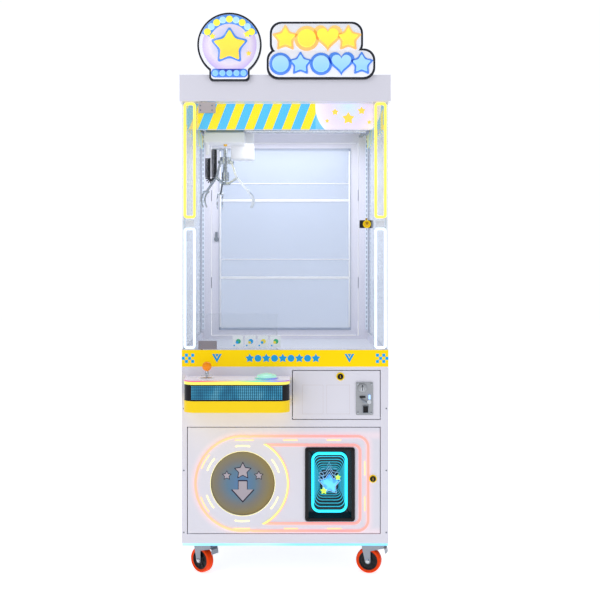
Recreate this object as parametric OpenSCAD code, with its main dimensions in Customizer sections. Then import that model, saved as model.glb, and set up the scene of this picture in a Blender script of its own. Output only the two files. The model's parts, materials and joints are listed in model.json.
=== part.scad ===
// Claw crane machine: a glass case with a travelling claw over a playfield,
// on a sheet-metal cabinet with a control console, a coin door and a prize flap.
// Front faces -Y, +X is the viewer's right, +Z is up, and the casters stand on Z = 0.

/* [Cabinet] */
// Width of the cabinet
cab_w = 800; // [760:5:960]
// Depth of the cabinet
cab_d = 850; // [800:5:1020]
// Thickness of the folded cabinet panels
panel_t = 15; // [12:1:20]
// Top of the lower cabinet
band_top = 887; // [880:1:960]
// Height of the glass case
case_h = 962; // [900:1:1160]
// Top face of the playfield deck
deck_top = 856; // [850:1:870]
// Thickness of the playfield deck
deck_t = 16; // [10:1:20]
// Running gap round each door
door_gap = 3; // [3:0.5:4]

/* [Header] */
// Overhang of the header past the cabinet on each side
header_lip = 8; // [4:1:20]
// Height of the header box
header_h = 102; // [80:1:140]
// Thickness of the two signs
sign_t = 18; // [8:1:30]

/* [Glass] */
// Thickness of the door glass
glass_t = 8; // [6:1:10]
// Thickness of the side glass
side_glass_t = 6; // [4:1:8]
// Width of each front light column
column_w = 56; // [50:1:70]
// Depth of each front light column
column_d = 50; // [40:1:70]
// Diameter of the neon tubes
neon_d = 9; // [7:1:12]

/* [Console] */
// Reach of the console in front of the cabinet
console_d = 150; // [130:5:190]
// Left edge of the console
console_left = -381; // [-385:1:-370]
// Right edge of the console
console_right = 18; // [0:1:20]
// Diameter of the push button
button_d = 74; // [60:1:80]
// Diameter of the joystick ball
ball_d = 36; // [30:1:40]

/* [Doors] */
// Width of the lower door
low_door_w = 744; // [700:1:750]
// Diameter of the prize hole
prize_d = 248; // [220:1:256]
// Width of the coin door
coin_door_w = 337; // [320:1:345]

/* [Gantry and claw] */
// Distance from the cabinet front to the claw at rest
claw_back = 225; // [200:1:260]
// Sideways place of the claw at rest
claw_x = -244; // [-250:1:-235]
// Diameter of the bridge rods
rod_d = 18; // [12:1:22]
// Diameter of the curly cord over its turns
curl_d = 20; // [14:1:22]

/* [Casters] */
// Diameter of the caster wheels
wheel_d = 100; // [80:1:100]
// Width of the caster wheels
wheel_w = 32; // [24:1:40]
// Distance from the swivel axis to the axle
trail = 24; // [20:1:30]

/* [Hidden] */
$fn = 48;
// Running clearance on a radius, and the gap between pieces that pass each other
fit = 0.05;
clear = 0.4;
big = 2000;

base_z = 138;
total_d = cab_d + console_d;
front_y = console_d - total_d / 2;
back_y = total_d / 2;
in_front = front_y + panel_t;
in_back = back_y - panel_t;
half_w = cab_w / 2;
in_x = half_w - panel_t;
case_top = band_top + case_h;
header_top = case_top + header_h;
header_front = front_y - header_lip;
header_bottom_t = 8;
header_wall = 4;
badge_x = -214;
badge_r = 124;
badge_tab = 77.5;

claw_y = front_y + claw_back;

// Light columns
column_out = half_w - 2;
column_in = column_out - column_w;
column_wall = 3;
neon_loop_w = 46;
neon_x = (column_out + column_in) / 2;
neon_y = front_y + column_wall;
neon_low = [band_top + 4, 469];
neon_high = [band_top + 510, case_h - 514];

// Canopy strip inside the glass
canopy_t = 3;
canopy_h = 104;
canopy_y = front_y + column_d + 2;
canopy_x = half_w - 12;

// Front glass door
pane_left = -336;
pane_right = 335;
pane_y = front_y + 2;
pivot_in = 12;
pivot_y = pane_y + glass_t / 2;
pivot_x = pane_left + pivot_in;
pivot_d = 8;
clamp_t = 3;
lock_z = 1374;
lock_x = 316;

// Rear door
rear_half = 343;
rear_z = [875, case_top - 75];
rear_window_half = 304;
rear_rim = 34;
hinge_in = 6;
hinge_pin_d = 5;
pin_out = 10;

// Lower door
low_left = -377;
low_z = [177, 586];
prize_x = -164;
prize_z = 369.5;
box_x = [77, 270];
box_z = [224, 510];
box_rim = 10;
box_depth = 45;
track_t = 3;
track_w = 8;

// Prize flap
flap_gap = 2;
flap_t = 4;
flap_y = front_y + 4;
flap_pin_d = 5;
flap_pin = [front_y + 21, prize_z + prize_d / 2 + 6.5];
flap_arm_x = 44;
flap_arm_w = 14;

// Prize chute
chute_x = [-352, -30];
chute_front = in_front + 3;
chute_back = front_y + 290;
chute_wall = 4;
chute_low = 200;
guard_h = 150;
guard_back = claw_y + 135;
floor_low = 218;
floor_high = 296;

// Coin door
coin_left = 30;
coin_z = [619, 806];
acc_x = 307;
acc_z = 699;
acc_w = 66;
acc_h = 127;
acc_body = [62, 117, 70];
coin_lock_x = 214;
coin_lock_z = 784;
lock_d = 22;

// Console
console_r = 45;
tray_z = [667, 710];
display_z = [710, 771];
top_z = [771, 786];
console_wall = 6;
stick_x = -297;
button_x = -70;
control_y = front_y - console_d / 2;
gimbal_z = 751;
gimbal_pin_d = 5;
barrel_wall = 6;
button_low = 772;
button_rim = 797;

// Gantry
rail_x = 354;
rail_z = case_top - 45;
rail_t = 4;
rail_w = 18;
drive_r = 15;
shaft_d = 10;
shaft_z = rail_z + drive_r + fit;
end_plate = [8, 120];
end_x = rail_x - rail_w / 2 - 3;
rod_z = case_top - 84;
rod_gap = 40;
carriage = [150, 116, 34];
carriage_z = rod_z - carriage[2] / 2;
cover_w = 162;
cover_d = 130;
cover_h = 42;
cover_z = carriage_z - cover_h;
cover_t = 2;
drum_r = 12;
drum_w = 40;
cord_d = 3;
drum_y = claw_y + drum_r + cord_d / 2 + 0.1;
drum_z = carriage_z - 21;
drum_shaft_d = 6;
hanger_x = drum_w / 2 + 6;

// Claw, as distances below the eye of the head
eye_z = case_top - 159;
collar_z = eye_z - 64;
collar_h = 27;
collar_r = 22;
arm_pin_r = 26;
arm_pin_z = eye_z - 58;
arm_pin_d = 4;
elbow = [49, eye_z - 122];
knee = [102, eye_z - 182];
finger_c = [78.5, eye_z - 217.5];
finger_r = 41.5;
finger_angles = [52, -40];
hub_z = eye_z - 150;
hub_h = 11;
coil_z = eye_z - 134;
coil_h = 35;
coil_r = 15;
plunger_d = 8;
link_end = [15.5, hub_z + hub_h / 2];
arm_w = 6;
link_t = 2;
arm_turns = [-15, 105, 225];

// Curly cord, beside the claw
curl_left = -72;
curl_right = -46;
curl_sleeve_z = case_top - 187;
curl_bend_z = case_top - 281;

// Casters: the swivel places, and the yaw of each fork at rest
caster_in = 75;
caster_left = -310;
caster_right = 354;
caster_at = [[caster_left, front_y + caster_in], [caster_right, front_y + caster_in],
             [caster_left, back_y - caster_in], [caster_right, back_y - caster_in]];
caster_yaw = [140, 162, 155, 150];
plate_w = 76;
plate_t = 4;
race_r = 30;
race_h = 11;
fork_top = base_z - plate_t - race_h - clear;
fork_t = 3;
stem_d = 14;
axle_d = 12;
hub_r = wheel_d / 2 - 12;
leg_y = wheel_w / 2 + 2.5;
pedal_pin = [-34, fork_top - 12];
pedal_pin_d = 5;

// A box between two corners
module span(x, y, z) {
    translate([x[0], y[0], z[0]])
        cube([x[1] - x[0], y[1] - y[0], z[1] - z[0]]);
}

// A flat outline in X and Z, extruded along Y
module slab(y, t) {
    translate([0, y + t, 0])
        rotate([90, 0, 0])
            linear_extrude(t)
                children();
}

module rod_x(r, x, y, z) {
    translate([x[0], y, z])
        rotate([0, 90, 0])
            cylinder(r = r, h = x[1] - x[0]);
}

module rod_y(r, x, y, z) {
    translate([x, y[1], z])
        rotate([90, 0, 0])
            cylinder(r = r, h = y[1] - y[0]);
}

module rod_z(r, x, y, z) {
    translate([x, y, z[0]])
        cylinder(r = r, h = z[1] - z[0]);
}

// A rectangle with round corners, from x[0] to x[1] and z[0] to z[1]
module round_rect(x, z, r) {
    translate([x[0] + r, z[0]])
        square([x[1] - x[0] - 2 * r, z[1] - z[0]]);
    translate([x[0], z[0] + r])
        square([x[1] - x[0], z[1] - z[0] - 2 * r]);
    for (cx = [x[0] + r, x[1] - r], cz = [z[0] + r, z[1] - r])
        translate([cx, cz])
            circle(r = r);
}

// A straight bar between two points of a plane
module bar(a, b, w) {
    d = b - a;
    translate(a)
        rotate(atan2(d[1], d[0]))
            translate([0, -w / 2])
                square([norm(d), w]);
}

// A cam lock: barrel through a panel, with the cam upright behind it
module cam_lock(r, length, cam) {
    rotate([90, 0, 0])
        translate([0, 0, -length])
            cylinder(r = r, h = length + 4);
    translate([-6, length - 3, -6])
        cube([12, 3, cam + 6]);
}

// ---------------------------------------------------------------- cabinet

module base_frame() {
    color("lightslategray") {
        span([-in_x, in_x], [in_front, in_back], [base_z, base_z + 12]);
        for (p = caster_at)
            translate([p[0], p[1], base_z])
                caster_plate();
    }
}

module caster_plate() {
    difference() {
        union() {
            translate([-plate_w / 2, -plate_w / 2, -plate_t])
                cube([plate_w, plate_w, plate_t]);
            translate([0, 0, -plate_t - race_h])
                cylinder(r = race_r, h = race_h);
        }
        translate([0, 0, -plate_t - race_h - 1])
            cylinder(d = stem_d + 2 * fit, h = race_h + 1);
    }
}

module side_panels() {
    color("ghostwhite")
        for (s = [-1, 1])
            translate([s * (half_w - panel_t / 2) - panel_t / 2, in_front, base_z])
                cube([panel_t, in_back - in_front, band_top - base_z]);
}

module rear_panel() {
    color("ghostwhite")
        difference() {
            span([-half_w, half_w], [in_back, back_y], [base_z, case_top]);
            span([-rear_half - door_gap, rear_half + door_gap], [in_back - 1, back_y + 1],
                [rear_z[0] - door_gap, rear_z[1] + door_gap]);
            for (z = [rear_z[0] - door_gap - pin_out + 1, rear_z[1] + door_gap - 1])
                rod_z(hinge_pin_d / 2 + fit, rear_half - hinge_in, back_y - hinge_in,
                    [z, z + pin_out]);
            span([270, 320], [in_back - 1, back_y + 1], [190, 220]);
        }
}

module front_panel() {
    low_right = low_left + low_door_w;
    coin_right = coin_left + coin_door_w;
    color("ghostwhite")
        difference() {
            span([-half_w, half_w], [front_y, in_front], [base_z, band_top]);
            span([low_left - door_gap, low_right + door_gap], [front_y - 1, in_front + 1],
                [low_z[0] - door_gap, low_z[1] + door_gap]);
            span([coin_left - door_gap, coin_right + door_gap], [front_y - 1, in_front + 1],
                [coin_z[0] - door_gap, coin_z[1] + door_gap]);
            for (z = [low_z[0] - pin_out - 1, low_z[1] + door_gap - 1])
                rod_z(hinge_pin_d / 2 + fit, low_left + hinge_in, front_y + hinge_in,
                    [z, z + pin_out - door_gap + 2]);
            for (x = [coin_left - pin_out - 1, coin_right + door_gap - 1])
                rod_x(hinge_pin_d / 2 + fit, [x, x + pin_out - door_gap + 2],
                    front_y + hinge_in, coin_z[0] + hinge_in);
            rod_z(pivot_d / 2 + fit, pivot_x, pivot_y, [band_top - 9, band_top + 1]);
            rod_y(15, -180, [front_y - 1, in_front + 1], 740);
        }
}

module deck() {
    color("whitesmoke")
        difference() {
            span([-in_x, in_x], [in_front, in_back], [deck_top - deck_t, deck_top]);
            span(chute_x, [in_front - 1, chute_back], [deck_top - deck_t - 1, deck_top + 1]);
        }
}

module front_columns() {
    color("aliceblue")
        for (s = [-1, 1])
            difference() {
                translate([s * neon_x - column_w / 2, front_y, band_top])
                    cube([column_w, column_d, case_h]);
                translate([s * neon_x - column_w / 2 + column_wall, front_y + column_wall,
                    band_top - 1])
                    cube([column_w - 2 * column_wall, column_d - 2 * column_wall, case_h + 2]);
            }
    color("silver")
        span([pane_right + 3, column_in - fit], [front_y + 12, front_y + 14.6],
            [lock_z - 15, lock_z + 15]);
}

// One closed neon loop in a light column
module neon_loop(x, z) {
    slab(neon_y, neon_d)
        difference() {
            round_rect([x - neon_loop_w / 2, x + neon_loop_w / 2], [z[0], z[0] + z[1]], 12);
            round_rect([x - neon_loop_w / 2 + neon_d, x + neon_loop_w / 2 - neon_d],
                [z[0] + neon_d, z[0] + z[1] - neon_d], 12 - neon_d + 2);
        }
}

module light_strips() {
    color("gold")
        for (s = [-1, 1])
            neon_loop(s * neon_x, neon_high);
    color("white")
        for (s = [-1, 1])
            neon_loop(s * neon_x, neon_low);
    color("white")
        for (s = [-1, 1])
            translate([s * (in_x - 2) - 5, in_back - 8, band_top + 13])
                cube([10, 8, case_h - 22]);
    color("deepskyblue")
        span([-half_w + 2, half_w - 2], [front_y + 2, front_y + 12], [base_z - 10, base_z]);
}

module side_glass() {
    color("lightcyan")
        for (s = [-1, 1])
            translate([s * (column_out - side_glass_t / 2) - side_glass_t / 2,
                front_y + column_d, band_top])
                cube([side_glass_t, in_back - front_y - column_d, case_h]);
}

module header_box() {
    w = half_w + header_lip;
    color("ghostwhite") {
        difference() {
            span([-w, w], [header_front, back_y], [case_top, case_top + header_bottom_t]);
            rod_z(pivot_d / 2 + fit, pivot_x, pivot_y, [case_top - 1, case_top + 7]);
        }
        difference() {
            span([-w, w], [header_front, back_y], [case_top + header_bottom_t, header_top]);
            span([-w + header_wall, w - header_wall],
                [header_front + header_wall, back_y - header_wall],
                [case_top + header_bottom_t - 1, header_top - header_wall]);
        }
    }
}

module canopy() {
    color("gold")
        span([-canopy_x, canopy_x], [canopy_y, canopy_y + canopy_t],
            [case_top - canopy_h, case_top]);
    color("dodgerblue")
        for (s = [-1, 1])
            translate([s * (canopy_x - canopy_t / 2) - canopy_t / 2, canopy_y + canopy_t,
                case_top - canopy_h])
                cube([canopy_t, in_back - 8 - canopy_y - canopy_t - clear, canopy_h]);
}

// A round badge on a tab, and a wide banner in two rows
module header_signs() {
    color("lightskyblue")
        slab(header_front - sign_t, sign_t) {
            translate([badge_x, header_top + 112])
                circle(r = badge_r, $fn = 96);
            round_rect([badge_x - badge_tab, badge_x + badge_tab],
                [header_top - 27, header_top + 60], 14);
        }
    color("lightyellow")
        slab(header_front - sign_t, sign_t) {
            round_rect([-59, 300], [header_top + 70, header_top + 201], 44);
            round_rect([-71, 347], [header_top - 20, header_top + 98], 44);
        }
}

module prize_chute() {
    color("silver") {
        difference() {
            span(chute_x, [chute_front, chute_back], [chute_low, deck_top]);
            span([chute_x[0] + chute_wall, chute_x[1] - chute_wall],
                [chute_front - 1, chute_back - chute_wall], [chute_low - 1, deck_top + 1]);
        }
        translate([chute_x[0] + chute_wall, 0, 0])
            rotate([90, 0, 90])
                linear_extrude(chute_x[1] - chute_x[0] - 2 * chute_wall)
                    polygon([[chute_front, floor_low], [chute_back - chute_wall, floor_high],
                        [chute_back - chute_wall, floor_high + 4],
                        [chute_front, floor_low + 4]]);
    }
    color("lightcyan") {
        span([chute_x[1] - chute_wall, chute_x[1]], [in_front + 6, guard_back],
            [deck_top, deck_top + guard_h]);
        span([-in_x + 2, chute_x[1] - chute_wall], [guard_back - chute_wall, guard_back],
            [deck_top, deck_top + guard_h]);
    }
}

module electronics() {
    color("dimgray")
        span([60, 260], [in_back - 190, in_back - 80], [base_z + 12, base_z + 62]);
    color("seagreen")
        span([-100, 100], [in_back - 12, in_back], [400, 560]);
    color("black")
        span([270, 320], [in_back - 24, back_y], [190, 220]);
}

module coin_box() {
    x = [282, 374];
    y = [in_front + 12, in_front + 162];
    z = [base_z + 12, 325];
    color("slategray")
        difference() {
            span(x, y, z);
            span([x[0] + 2, x[1] - 2], [y[0] + 2, y[1] - 2], [z[0] + 2, z[1] + 1]);
        }
}

// ---------------------------------------------------------------- console

module console_outline(inset) {
    r = console_r - inset;
    x = [console_left + inset, console_right - inset];
    y = front_y - console_d + inset;
    translate([x[0] + r, y])
        square([x[1] - x[0] - 2 * r, front_y - y]);
    translate([x[0], y + r])
        square([x[1] - x[0], front_y - y - r]);
    for (cx = [x[0] + r, x[1] - r])
        translate([cx, y + r])
            circle(r = r);
}

module console_tray() {
    color("gold")
        translate([0, 0, tray_z[0]])
            difference() {
                linear_extrude(tray_z[1] - tray_z[0])
                    console_outline(0);
                translate([0, 0, console_wall])
                    linear_extrude(tray_z[1] - tray_z[0])
                        console_outline(console_wall);
            }
}

module console_display() {
    color("black")
        translate([0, 0, display_z[0]])
            linear_extrude(display_z[1] - display_z[0])
                difference() {
                    console_outline(1);
                    console_outline(1 + console_wall);
                }
}

module console_top() {
    barrel_r = button_d / 2 + barrel_wall;
    color("lightcyan") {
        difference() {
            union() {
                translate([0, 0, top_z[0]])
                    linear_extrude(top_z[1] - top_z[0])
                        console_outline(0);
                rod_z(barrel_r, button_x, control_y, [button_low - 14, top_z[1] + 6]);
            }
            rod_z(button_d / 2 + fit, button_x, control_y, [button_low - 8, top_z[1] + 7]);
            rod_z(17, stick_x, control_y, [top_z[0] - 1, top_z[1] + 1]);
        }
        joystick_housing();
    }
}

// An open box under the lid, with a bearing for the gimbal in each side
module joystick_housing() {
    base_w = 84;
    base_in = 64;
    rim = top_z[0] - fit;
    difference() {
        translate([stick_x - base_w / 2, control_y - base_w / 2, gimbal_z - 18])
            cube([base_w, base_w, rim - gimbal_z + 18]);
        translate([stick_x - base_in / 2, control_y - base_in / 2, gimbal_z - 14])
            cube([base_in, base_in, rim - gimbal_z + 15]);
        rod_x(gimbal_pin_d / 2 + fit, [stick_x - base_w / 2 - 1, stick_x + base_w / 2 + 1],
            control_y, gimbal_z);
    }
}

module joystick_gimbal() {
    ring_r = 24;
    ring_in = 17;
    color("gray")
        difference() {
            union() {
                rod_z(ring_r, stick_x, control_y, [gimbal_z - 5, gimbal_z + 5]);
                rod_x(gimbal_pin_d / 2, [stick_x - 41, stick_x + 41], control_y, gimbal_z);
            }
            rod_z(ring_in, stick_x, control_y, [gimbal_z - 6, gimbal_z + 6]);
            rod_y(gimbal_pin_d / 2 + fit, stick_x, [control_y - ring_r - 1,
                control_y + ring_r + 1], gimbal_z);
        }
}

module joystick_stick() {
    color("orange") {
        rod_z(5, stick_x, control_y, [gimbal_z - 8, 822]);
        rod_y(gimbal_pin_d / 2, stick_x, [control_y - 22, control_y + 22], gimbal_z);
        rod_z(9, stick_x, control_y, [gimbal_z - 7, gimbal_z + 7]);
        rod_z(22.5, stick_x, control_y, [796, 798]);
        translate([stick_x, control_y, 832])
            sphere(d = ball_d);
    }
}

module push_button() {
    dome_h = 10;
    dome_r = (pow(button_d / 2, 2) + pow(dome_h, 2)) / (2 * dome_h);
    color("aquamarine") {
        rod_z(button_d / 2, button_x, control_y, [button_low, button_rim]);
        intersection() {
            translate([button_x, control_y, button_rim + dome_h - dome_r])
                sphere(r = dome_r, $fn = 96);
            rod_z(button_d / 2, button_x, control_y, [button_rim - 2, button_rim + dome_h + 1]);
        }
    }
}

// ---------------------------------------------------------------- doors

module rear_door() {
    window = [rear_z[0] + rear_rim, rear_z[1] - rear_rim];
    color("gainsboro") {
        difference() {
            span([-rear_half, rear_half], [in_back, back_y], rear_z);
            span([-rear_window_half, rear_window_half], [in_back - 1, back_y + 1], window);
            rod_y(lock_d / 2, -rear_half + 22, [in_back - 1, back_y + 1],
                (rear_z[0] + rear_z[1]) / 2);
        }
        for (z = [1138, 1500])
            span([-rear_window_half, rear_window_half], [in_back, in_back + 8], [z, z + 12]);
        for (z = [rear_z[0] - pin_out, rear_z[1]])
            rod_z(hinge_pin_d / 2, rear_half - hinge_in, back_y - hinge_in, [z, z + pin_out]);
    }
    color("lightcyan")
        span([-rear_window_half - 5, rear_window_half + 5], [in_back - 4, in_back],
            [window[0] - 10, window[1] + 10]);
}

module rear_lock() {
    color("dimgray")
        translate([-rear_half + 22, back_y, (rear_z[0] + rear_z[1]) / 2])
            rotate([0, 0, 180])
                rear_cam();
}

// The barrel ends flush with the panel's outer face
module rear_cam() {
    rotate([-90, 0, 0])
        cylinder(d = lock_d - 2 * fit, h = panel_t + 6);
    translate([-6, panel_t + 2.5, -6])
        cube([12, 3, 40]);
}

module front_glass() {
    color("lightcyan")
        difference() {
            span([pane_left, pane_right], [pane_y, pane_y + glass_t],
                [band_top + door_gap, case_top - door_gap]);
            rod_y(11, lock_x, [pane_y - 1, pane_y + glass_t + 1], lock_z);
        }
}

module glass_clamps() {
    y = [pane_y - clamp_t, pane_y + glass_t + clamp_t];
    color("silver") {
        for (v = [[[pane_left, -270], [case_top - 44, case_top - door_gap]],
                  [[pane_left, -265], [band_top + door_gap, band_top + 34]]])
            difference() {
                span(v[0], y, v[1]);
                span([pane_left - 1, pane_right], [pane_y, pane_y + glass_t], v[1]);
            }
        for (z = [[case_top - door_gap, case_top + 5], [band_top - 7, band_top + door_gap]])
            rod_z(pivot_d / 2, pivot_x, pivot_y, z);
    }
    color("black")
        difference() {
            span([lock_x - 27, pane_right], [pane_y - 10, pane_y + glass_t + 4],
                [lock_z - 15, lock_z + 15]);
            span([lock_x - 28, pane_right + 1], [pane_y, pane_y + glass_t],
                [lock_z - 16, lock_z + 16]);
            rod_y(9 + fit, lock_x, [pane_y - 11, pane_y + glass_t + 5], lock_z);
        }
}

module front_lock() {
    color("gold")
        translate([lock_x, 0, lock_z]) {
            rod_y(9, 0, [pane_y - 13, pane_y + glass_t + 8], 0);
            translate([-4, pane_y + glass_t + 5, -4])
                cube([8, 3, 28]);
        }
}

module lower_door() {
    right = low_left + low_door_w;
    color("ghostwhite")
        difference() {
            union() {
                span([low_left, right], [front_y, in_front], low_z);
                for (z = [low_z[0] - pin_out, low_z[1]])
                    rod_z(hinge_pin_d / 2, low_left + hinge_in, front_y + hinge_in,
                        [z, z + pin_out]);
                for (s = [-1, 1])
                    translate([prize_x + s * (flap_arm_x + flap_arm_w / 2 + 6) - 5, in_front,
                        flap_pin[1] - 8])
                        cube([10, 14, 24]);
            }
            rod_y(prize_d / 2, prize_x, [front_y - 1, in_front + 1], prize_z);
            span([box_x[0] + box_rim, box_x[1] - box_rim], [front_y - 1, in_front + 1],
                [box_z[0] + box_rim, box_z[1] - box_rim]);
            rod_y(lock_d / 2 + fit, right - 27, [front_y - 1, in_front + 1], 388);
            rod_x(flap_pin_d / 2 + fit, [prize_x - 80, prize_x + 80], flap_pin[0], flap_pin[1]);
        }
}

// The keyhole outline of the outer track: a disc joined to a rounded panel
module track_outer(inset) {
    translate([prize_x, prize_z])
        circle(r = 187 - inset, $fn = 128);
    round_rect([prize_x, 325.5 - inset], [182.5 + inset, 556.5 - inset], 46 - inset);
}

// The inner track: a rounded panel bitten by a disc
module track_inner(inset) {
    difference() {
        round_rect([-104, 294 - inset], [211 + inset, 522.7 - inset], 28 - inset);
        translate([prize_x, prize_z])
            circle(r = 172 + inset, $fn = 128);
    }
}

module door_lights() {
    color("salmon")
        slab(front_y - track_t, track_t)
            difference() {
                track_outer(0);
                track_outer(track_w);
            }
    color("khaki")
        slab(front_y - track_t, track_t)
            difference() {
                track_inner(0);
                track_inner(track_w);
            }
}

module light_box() {
    x = [box_x[0] + box_rim, box_x[1] - box_rim];
    z = [box_z[0] + box_rim, box_z[1] - box_rim];
    color("black") {
        difference() {
            union() {
                slab(front_y - 6, 6)
                    round_rect(box_x, box_z, 10);
                span(x, [front_y, front_y + box_depth], z);
            }
            slab(front_y - 7, 4)
                round_rect([x[0] + 5, x[1] - 5], [z[0] + 5, z[1] - 5], 12);
        }
    }
}

module lower_lock() {
    color("gold")
        translate([low_left + low_door_w - 27, front_y, 388])
            cam_lock(lock_d / 2, panel_t + 5, 42);
}

module prize_flap() {
    r = prize_d / 2 - flap_gap;
    color("steelblue") {
        rod_y(r, prize_x, [flap_y, flap_y + flap_t], prize_z);
        for (s = [-1, 1]) {
            x = prize_x + s * flap_arm_x;
            span([x - flap_arm_w / 2, x + flap_arm_w / 2], [flap_y + flap_t, flap_pin[0] + 4],
                [flap_pin[1] - 34, flap_pin[1] - 26]);
            span([x - flap_arm_w / 2, x + flap_arm_w / 2], [flap_pin[0] - 4, flap_pin[0] + 4],
                [flap_pin[1] - 30, flap_pin[1] + 4]);
        }
        rod_x(flap_pin_d / 2, [prize_x - flap_arm_x - flap_arm_w / 2 - 10,
            prize_x + flap_arm_x + flap_arm_w / 2 + 10], flap_pin[0], flap_pin[1]);
    }
}

module coin_door() {
    right = coin_left + coin_door_w;
    color("ghostwhite")
        difference() {
            union() {
                span([coin_left, right], [front_y, in_front], coin_z);
                rod_x(hinge_pin_d / 2, [coin_left - pin_out, right + pin_out],
                    front_y + hinge_in, coin_z[0] + hinge_in);
            }
            span([acc_x - acc_body[0] / 2, acc_x + acc_body[0] / 2], [front_y - 1, in_front + 1],
                [acc_z - acc_body[1] / 2, acc_z + acc_body[1] / 2]);
            rod_y(lock_d / 2 + fit, coin_lock_x, [front_y - 1, in_front + 1], coin_lock_z);
        }
}

module coin_acceptor() {
    color("silver")
        difference() {
            union() {
                slab(front_y - 4, 4)
                    round_rect([acc_x - acc_w / 2, acc_x + acc_w / 2],
                        [acc_z - acc_h / 2, acc_z + acc_h / 2], 4);
                span([acc_x - acc_body[0] / 2, acc_x + acc_body[0] / 2],
                    [front_y, front_y + acc_body[2]],
                    [acc_z - acc_body[1] / 2, acc_z + acc_body[1] / 2]);
                rod_y(15, acc_x - 8, [front_y - 9, front_y], acc_z + 42);
            }
            span([acc_x - 9.5, acc_x - 6.5], [front_y - 10, front_y + 30],
                [acc_z + 29, acc_z + 55]);
            span([acc_x - 6, acc_x + 14], [front_y - 5, front_y + 20],
                [acc_z - 56, acc_z - 26]);
            rod_y(8 + fit, acc_x + 18, [front_y - 5, front_y + 14], acc_z - 12);
        }
}

module reject_button() {
    color("darkgray")
        rod_y(8, acc_x + 18, [front_y - 9, front_y + 8], acc_z - 12);
}

module coin_lock() {
    color("gold")
        translate([coin_lock_x, front_y, coin_lock_z])
            rotate([0, 90, 0])
                cam_lock(lock_d / 2, panel_t + 5, 34);
}

// ---------------------------------------------------------------- gantry

module gantry_rails() {
    color("silver")
        for (s = [-1, 1])
            translate([s * rail_x, 0, 0])
                mirror([s > 0 ? 0 : 1, 0, 0]) {
                    span([-rail_w / 2, rail_w / 2], [front_y + 70, in_back - 20],
                        [rail_z - rail_t, rail_z]);
                    span([rail_w / 2 - 3, rail_w / 2], [front_y + 70, in_back - 20],
                        [rail_z, case_top]);
                }
}

module bridge() {
    color("dimgray")
        difference() {
            union() {
                for (s = [-1, 1]) {
                    span([min(s * end_x, s * (end_x - end_plate[0])),
                        max(s * end_x, s * (end_x - end_plate[0]))],
                        [claw_y - end_plate[1] / 2, claw_y + end_plate[1] / 2],
                        [rod_z - 16, shaft_z + 14]);
                    for (y = [-1, 1])
                        translate([s * (end_x + 5) - 6, claw_y + y * 50 - 8, rail_z + clear])
                            cube([12, 16, 10]);
                }
                for (y = [-rod_gap, rod_gap])
                    rod_x(rod_d / 2, [-end_x, end_x], claw_y + y, rod_z);
            }
            rod_x(shaft_d / 2 + fit, [-big, big], claw_y, shaft_z);
        }
}

module bridge_shaft() {
    color("silver") {
        rod_x(shaft_d / 2, [-rail_x - 5, rail_x + 5], claw_y, shaft_z);
        for (s = [-1, 1])
            rod_x(drive_r, [s * rail_x - 4, s * rail_x + 4], claw_y, shaft_z);
    }
}

module trolley() {
    color("whitesmoke")
        difference() {
            union() {
                translate([claw_x - carriage[0] / 2, claw_y - carriage[1] / 2, carriage_z])
                    cube(carriage);
                for (s = [-1, 1])
                    translate([claw_x + s * hanger_x - 2, drum_y - 8, drum_z - 8])
                        cube([4, 16, carriage_z - drum_z + 8]);
            }
            for (y = [-rod_gap, rod_gap])
                rod_x(rod_d / 2 + fit, [-big, big], claw_y + y, rod_z);
            rod_x(drum_shaft_d / 2 + fit, [-big, big], drum_y, drum_z);
        }
}

module trolley_cover() {
    x = [claw_x - cover_w / 2, claw_x + cover_w / 2];
    y = [claw_y - cover_d / 2 - 5, claw_y + cover_d / 2 - 5];
    sleeve_r = 7;
    color("white") {
        difference() {
            span(x, y, [cover_z, carriage_z]);
            span([x[0] + cover_t, x[1] - cover_t], [y[0] + cover_t, y[1] - cover_t],
                [cover_z + cover_t, carriage_z + 1]);
            rod_z(8, claw_x, claw_y, [cover_z - 1, cover_z + cover_t + 1]);
        }
        span([claw_x + 19, claw_x + 114], [claw_y + carriage[1] / 2, claw_y + 140],
            [cover_z - 56, carriage_z + carriage[2]]);
        rod_z(sleeve_r, claw_x + curl_left, claw_y, [curl_sleeve_z, cover_z]);
    }
}

module hoist_drum() {
    color("gray")
        union() {
            rod_x(drum_r, [claw_x - drum_w / 2, claw_x + drum_w / 2], drum_y, drum_z);
            for (s = [-1, 1])
                rod_x(drum_r + 5, [claw_x + s * (drum_w / 2 - 1.5) - 1.5,
                    claw_x + s * (drum_w / 2 - 1.5) + 1.5], drum_y, drum_z);
            rod_x(drum_shaft_d / 2, [claw_x - hanger_x - 4, claw_x + hanger_x + 4], drum_y,
                drum_z);
        }
}

module hoist_cord() {
    color("dimgray")
        rod_z(cord_d / 2, claw_x, claw_y, [eye_z, drum_z]);
}

module curly_cord() {
    turn_r = (curl_right - curl_left) / 2;
    color("black")
        translate([claw_x, claw_y, 0]) {
            rod_z(curl_d / 2, curl_left, 0, [curl_bend_z, curl_sleeve_z]);
            rod_z(curl_d / 2, curl_right, 0, [curl_bend_z, eye_z - 6]);
            translate([(curl_left + curl_right) / 2, 0, curl_bend_z])
                rotate([90, 180, 0])
                    rotate_extrude(angle = 180)
                        translate([turn_r, 0])
                            circle(d = curl_d);
        }
}

// ---------------------------------------------------------------- claw

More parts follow.
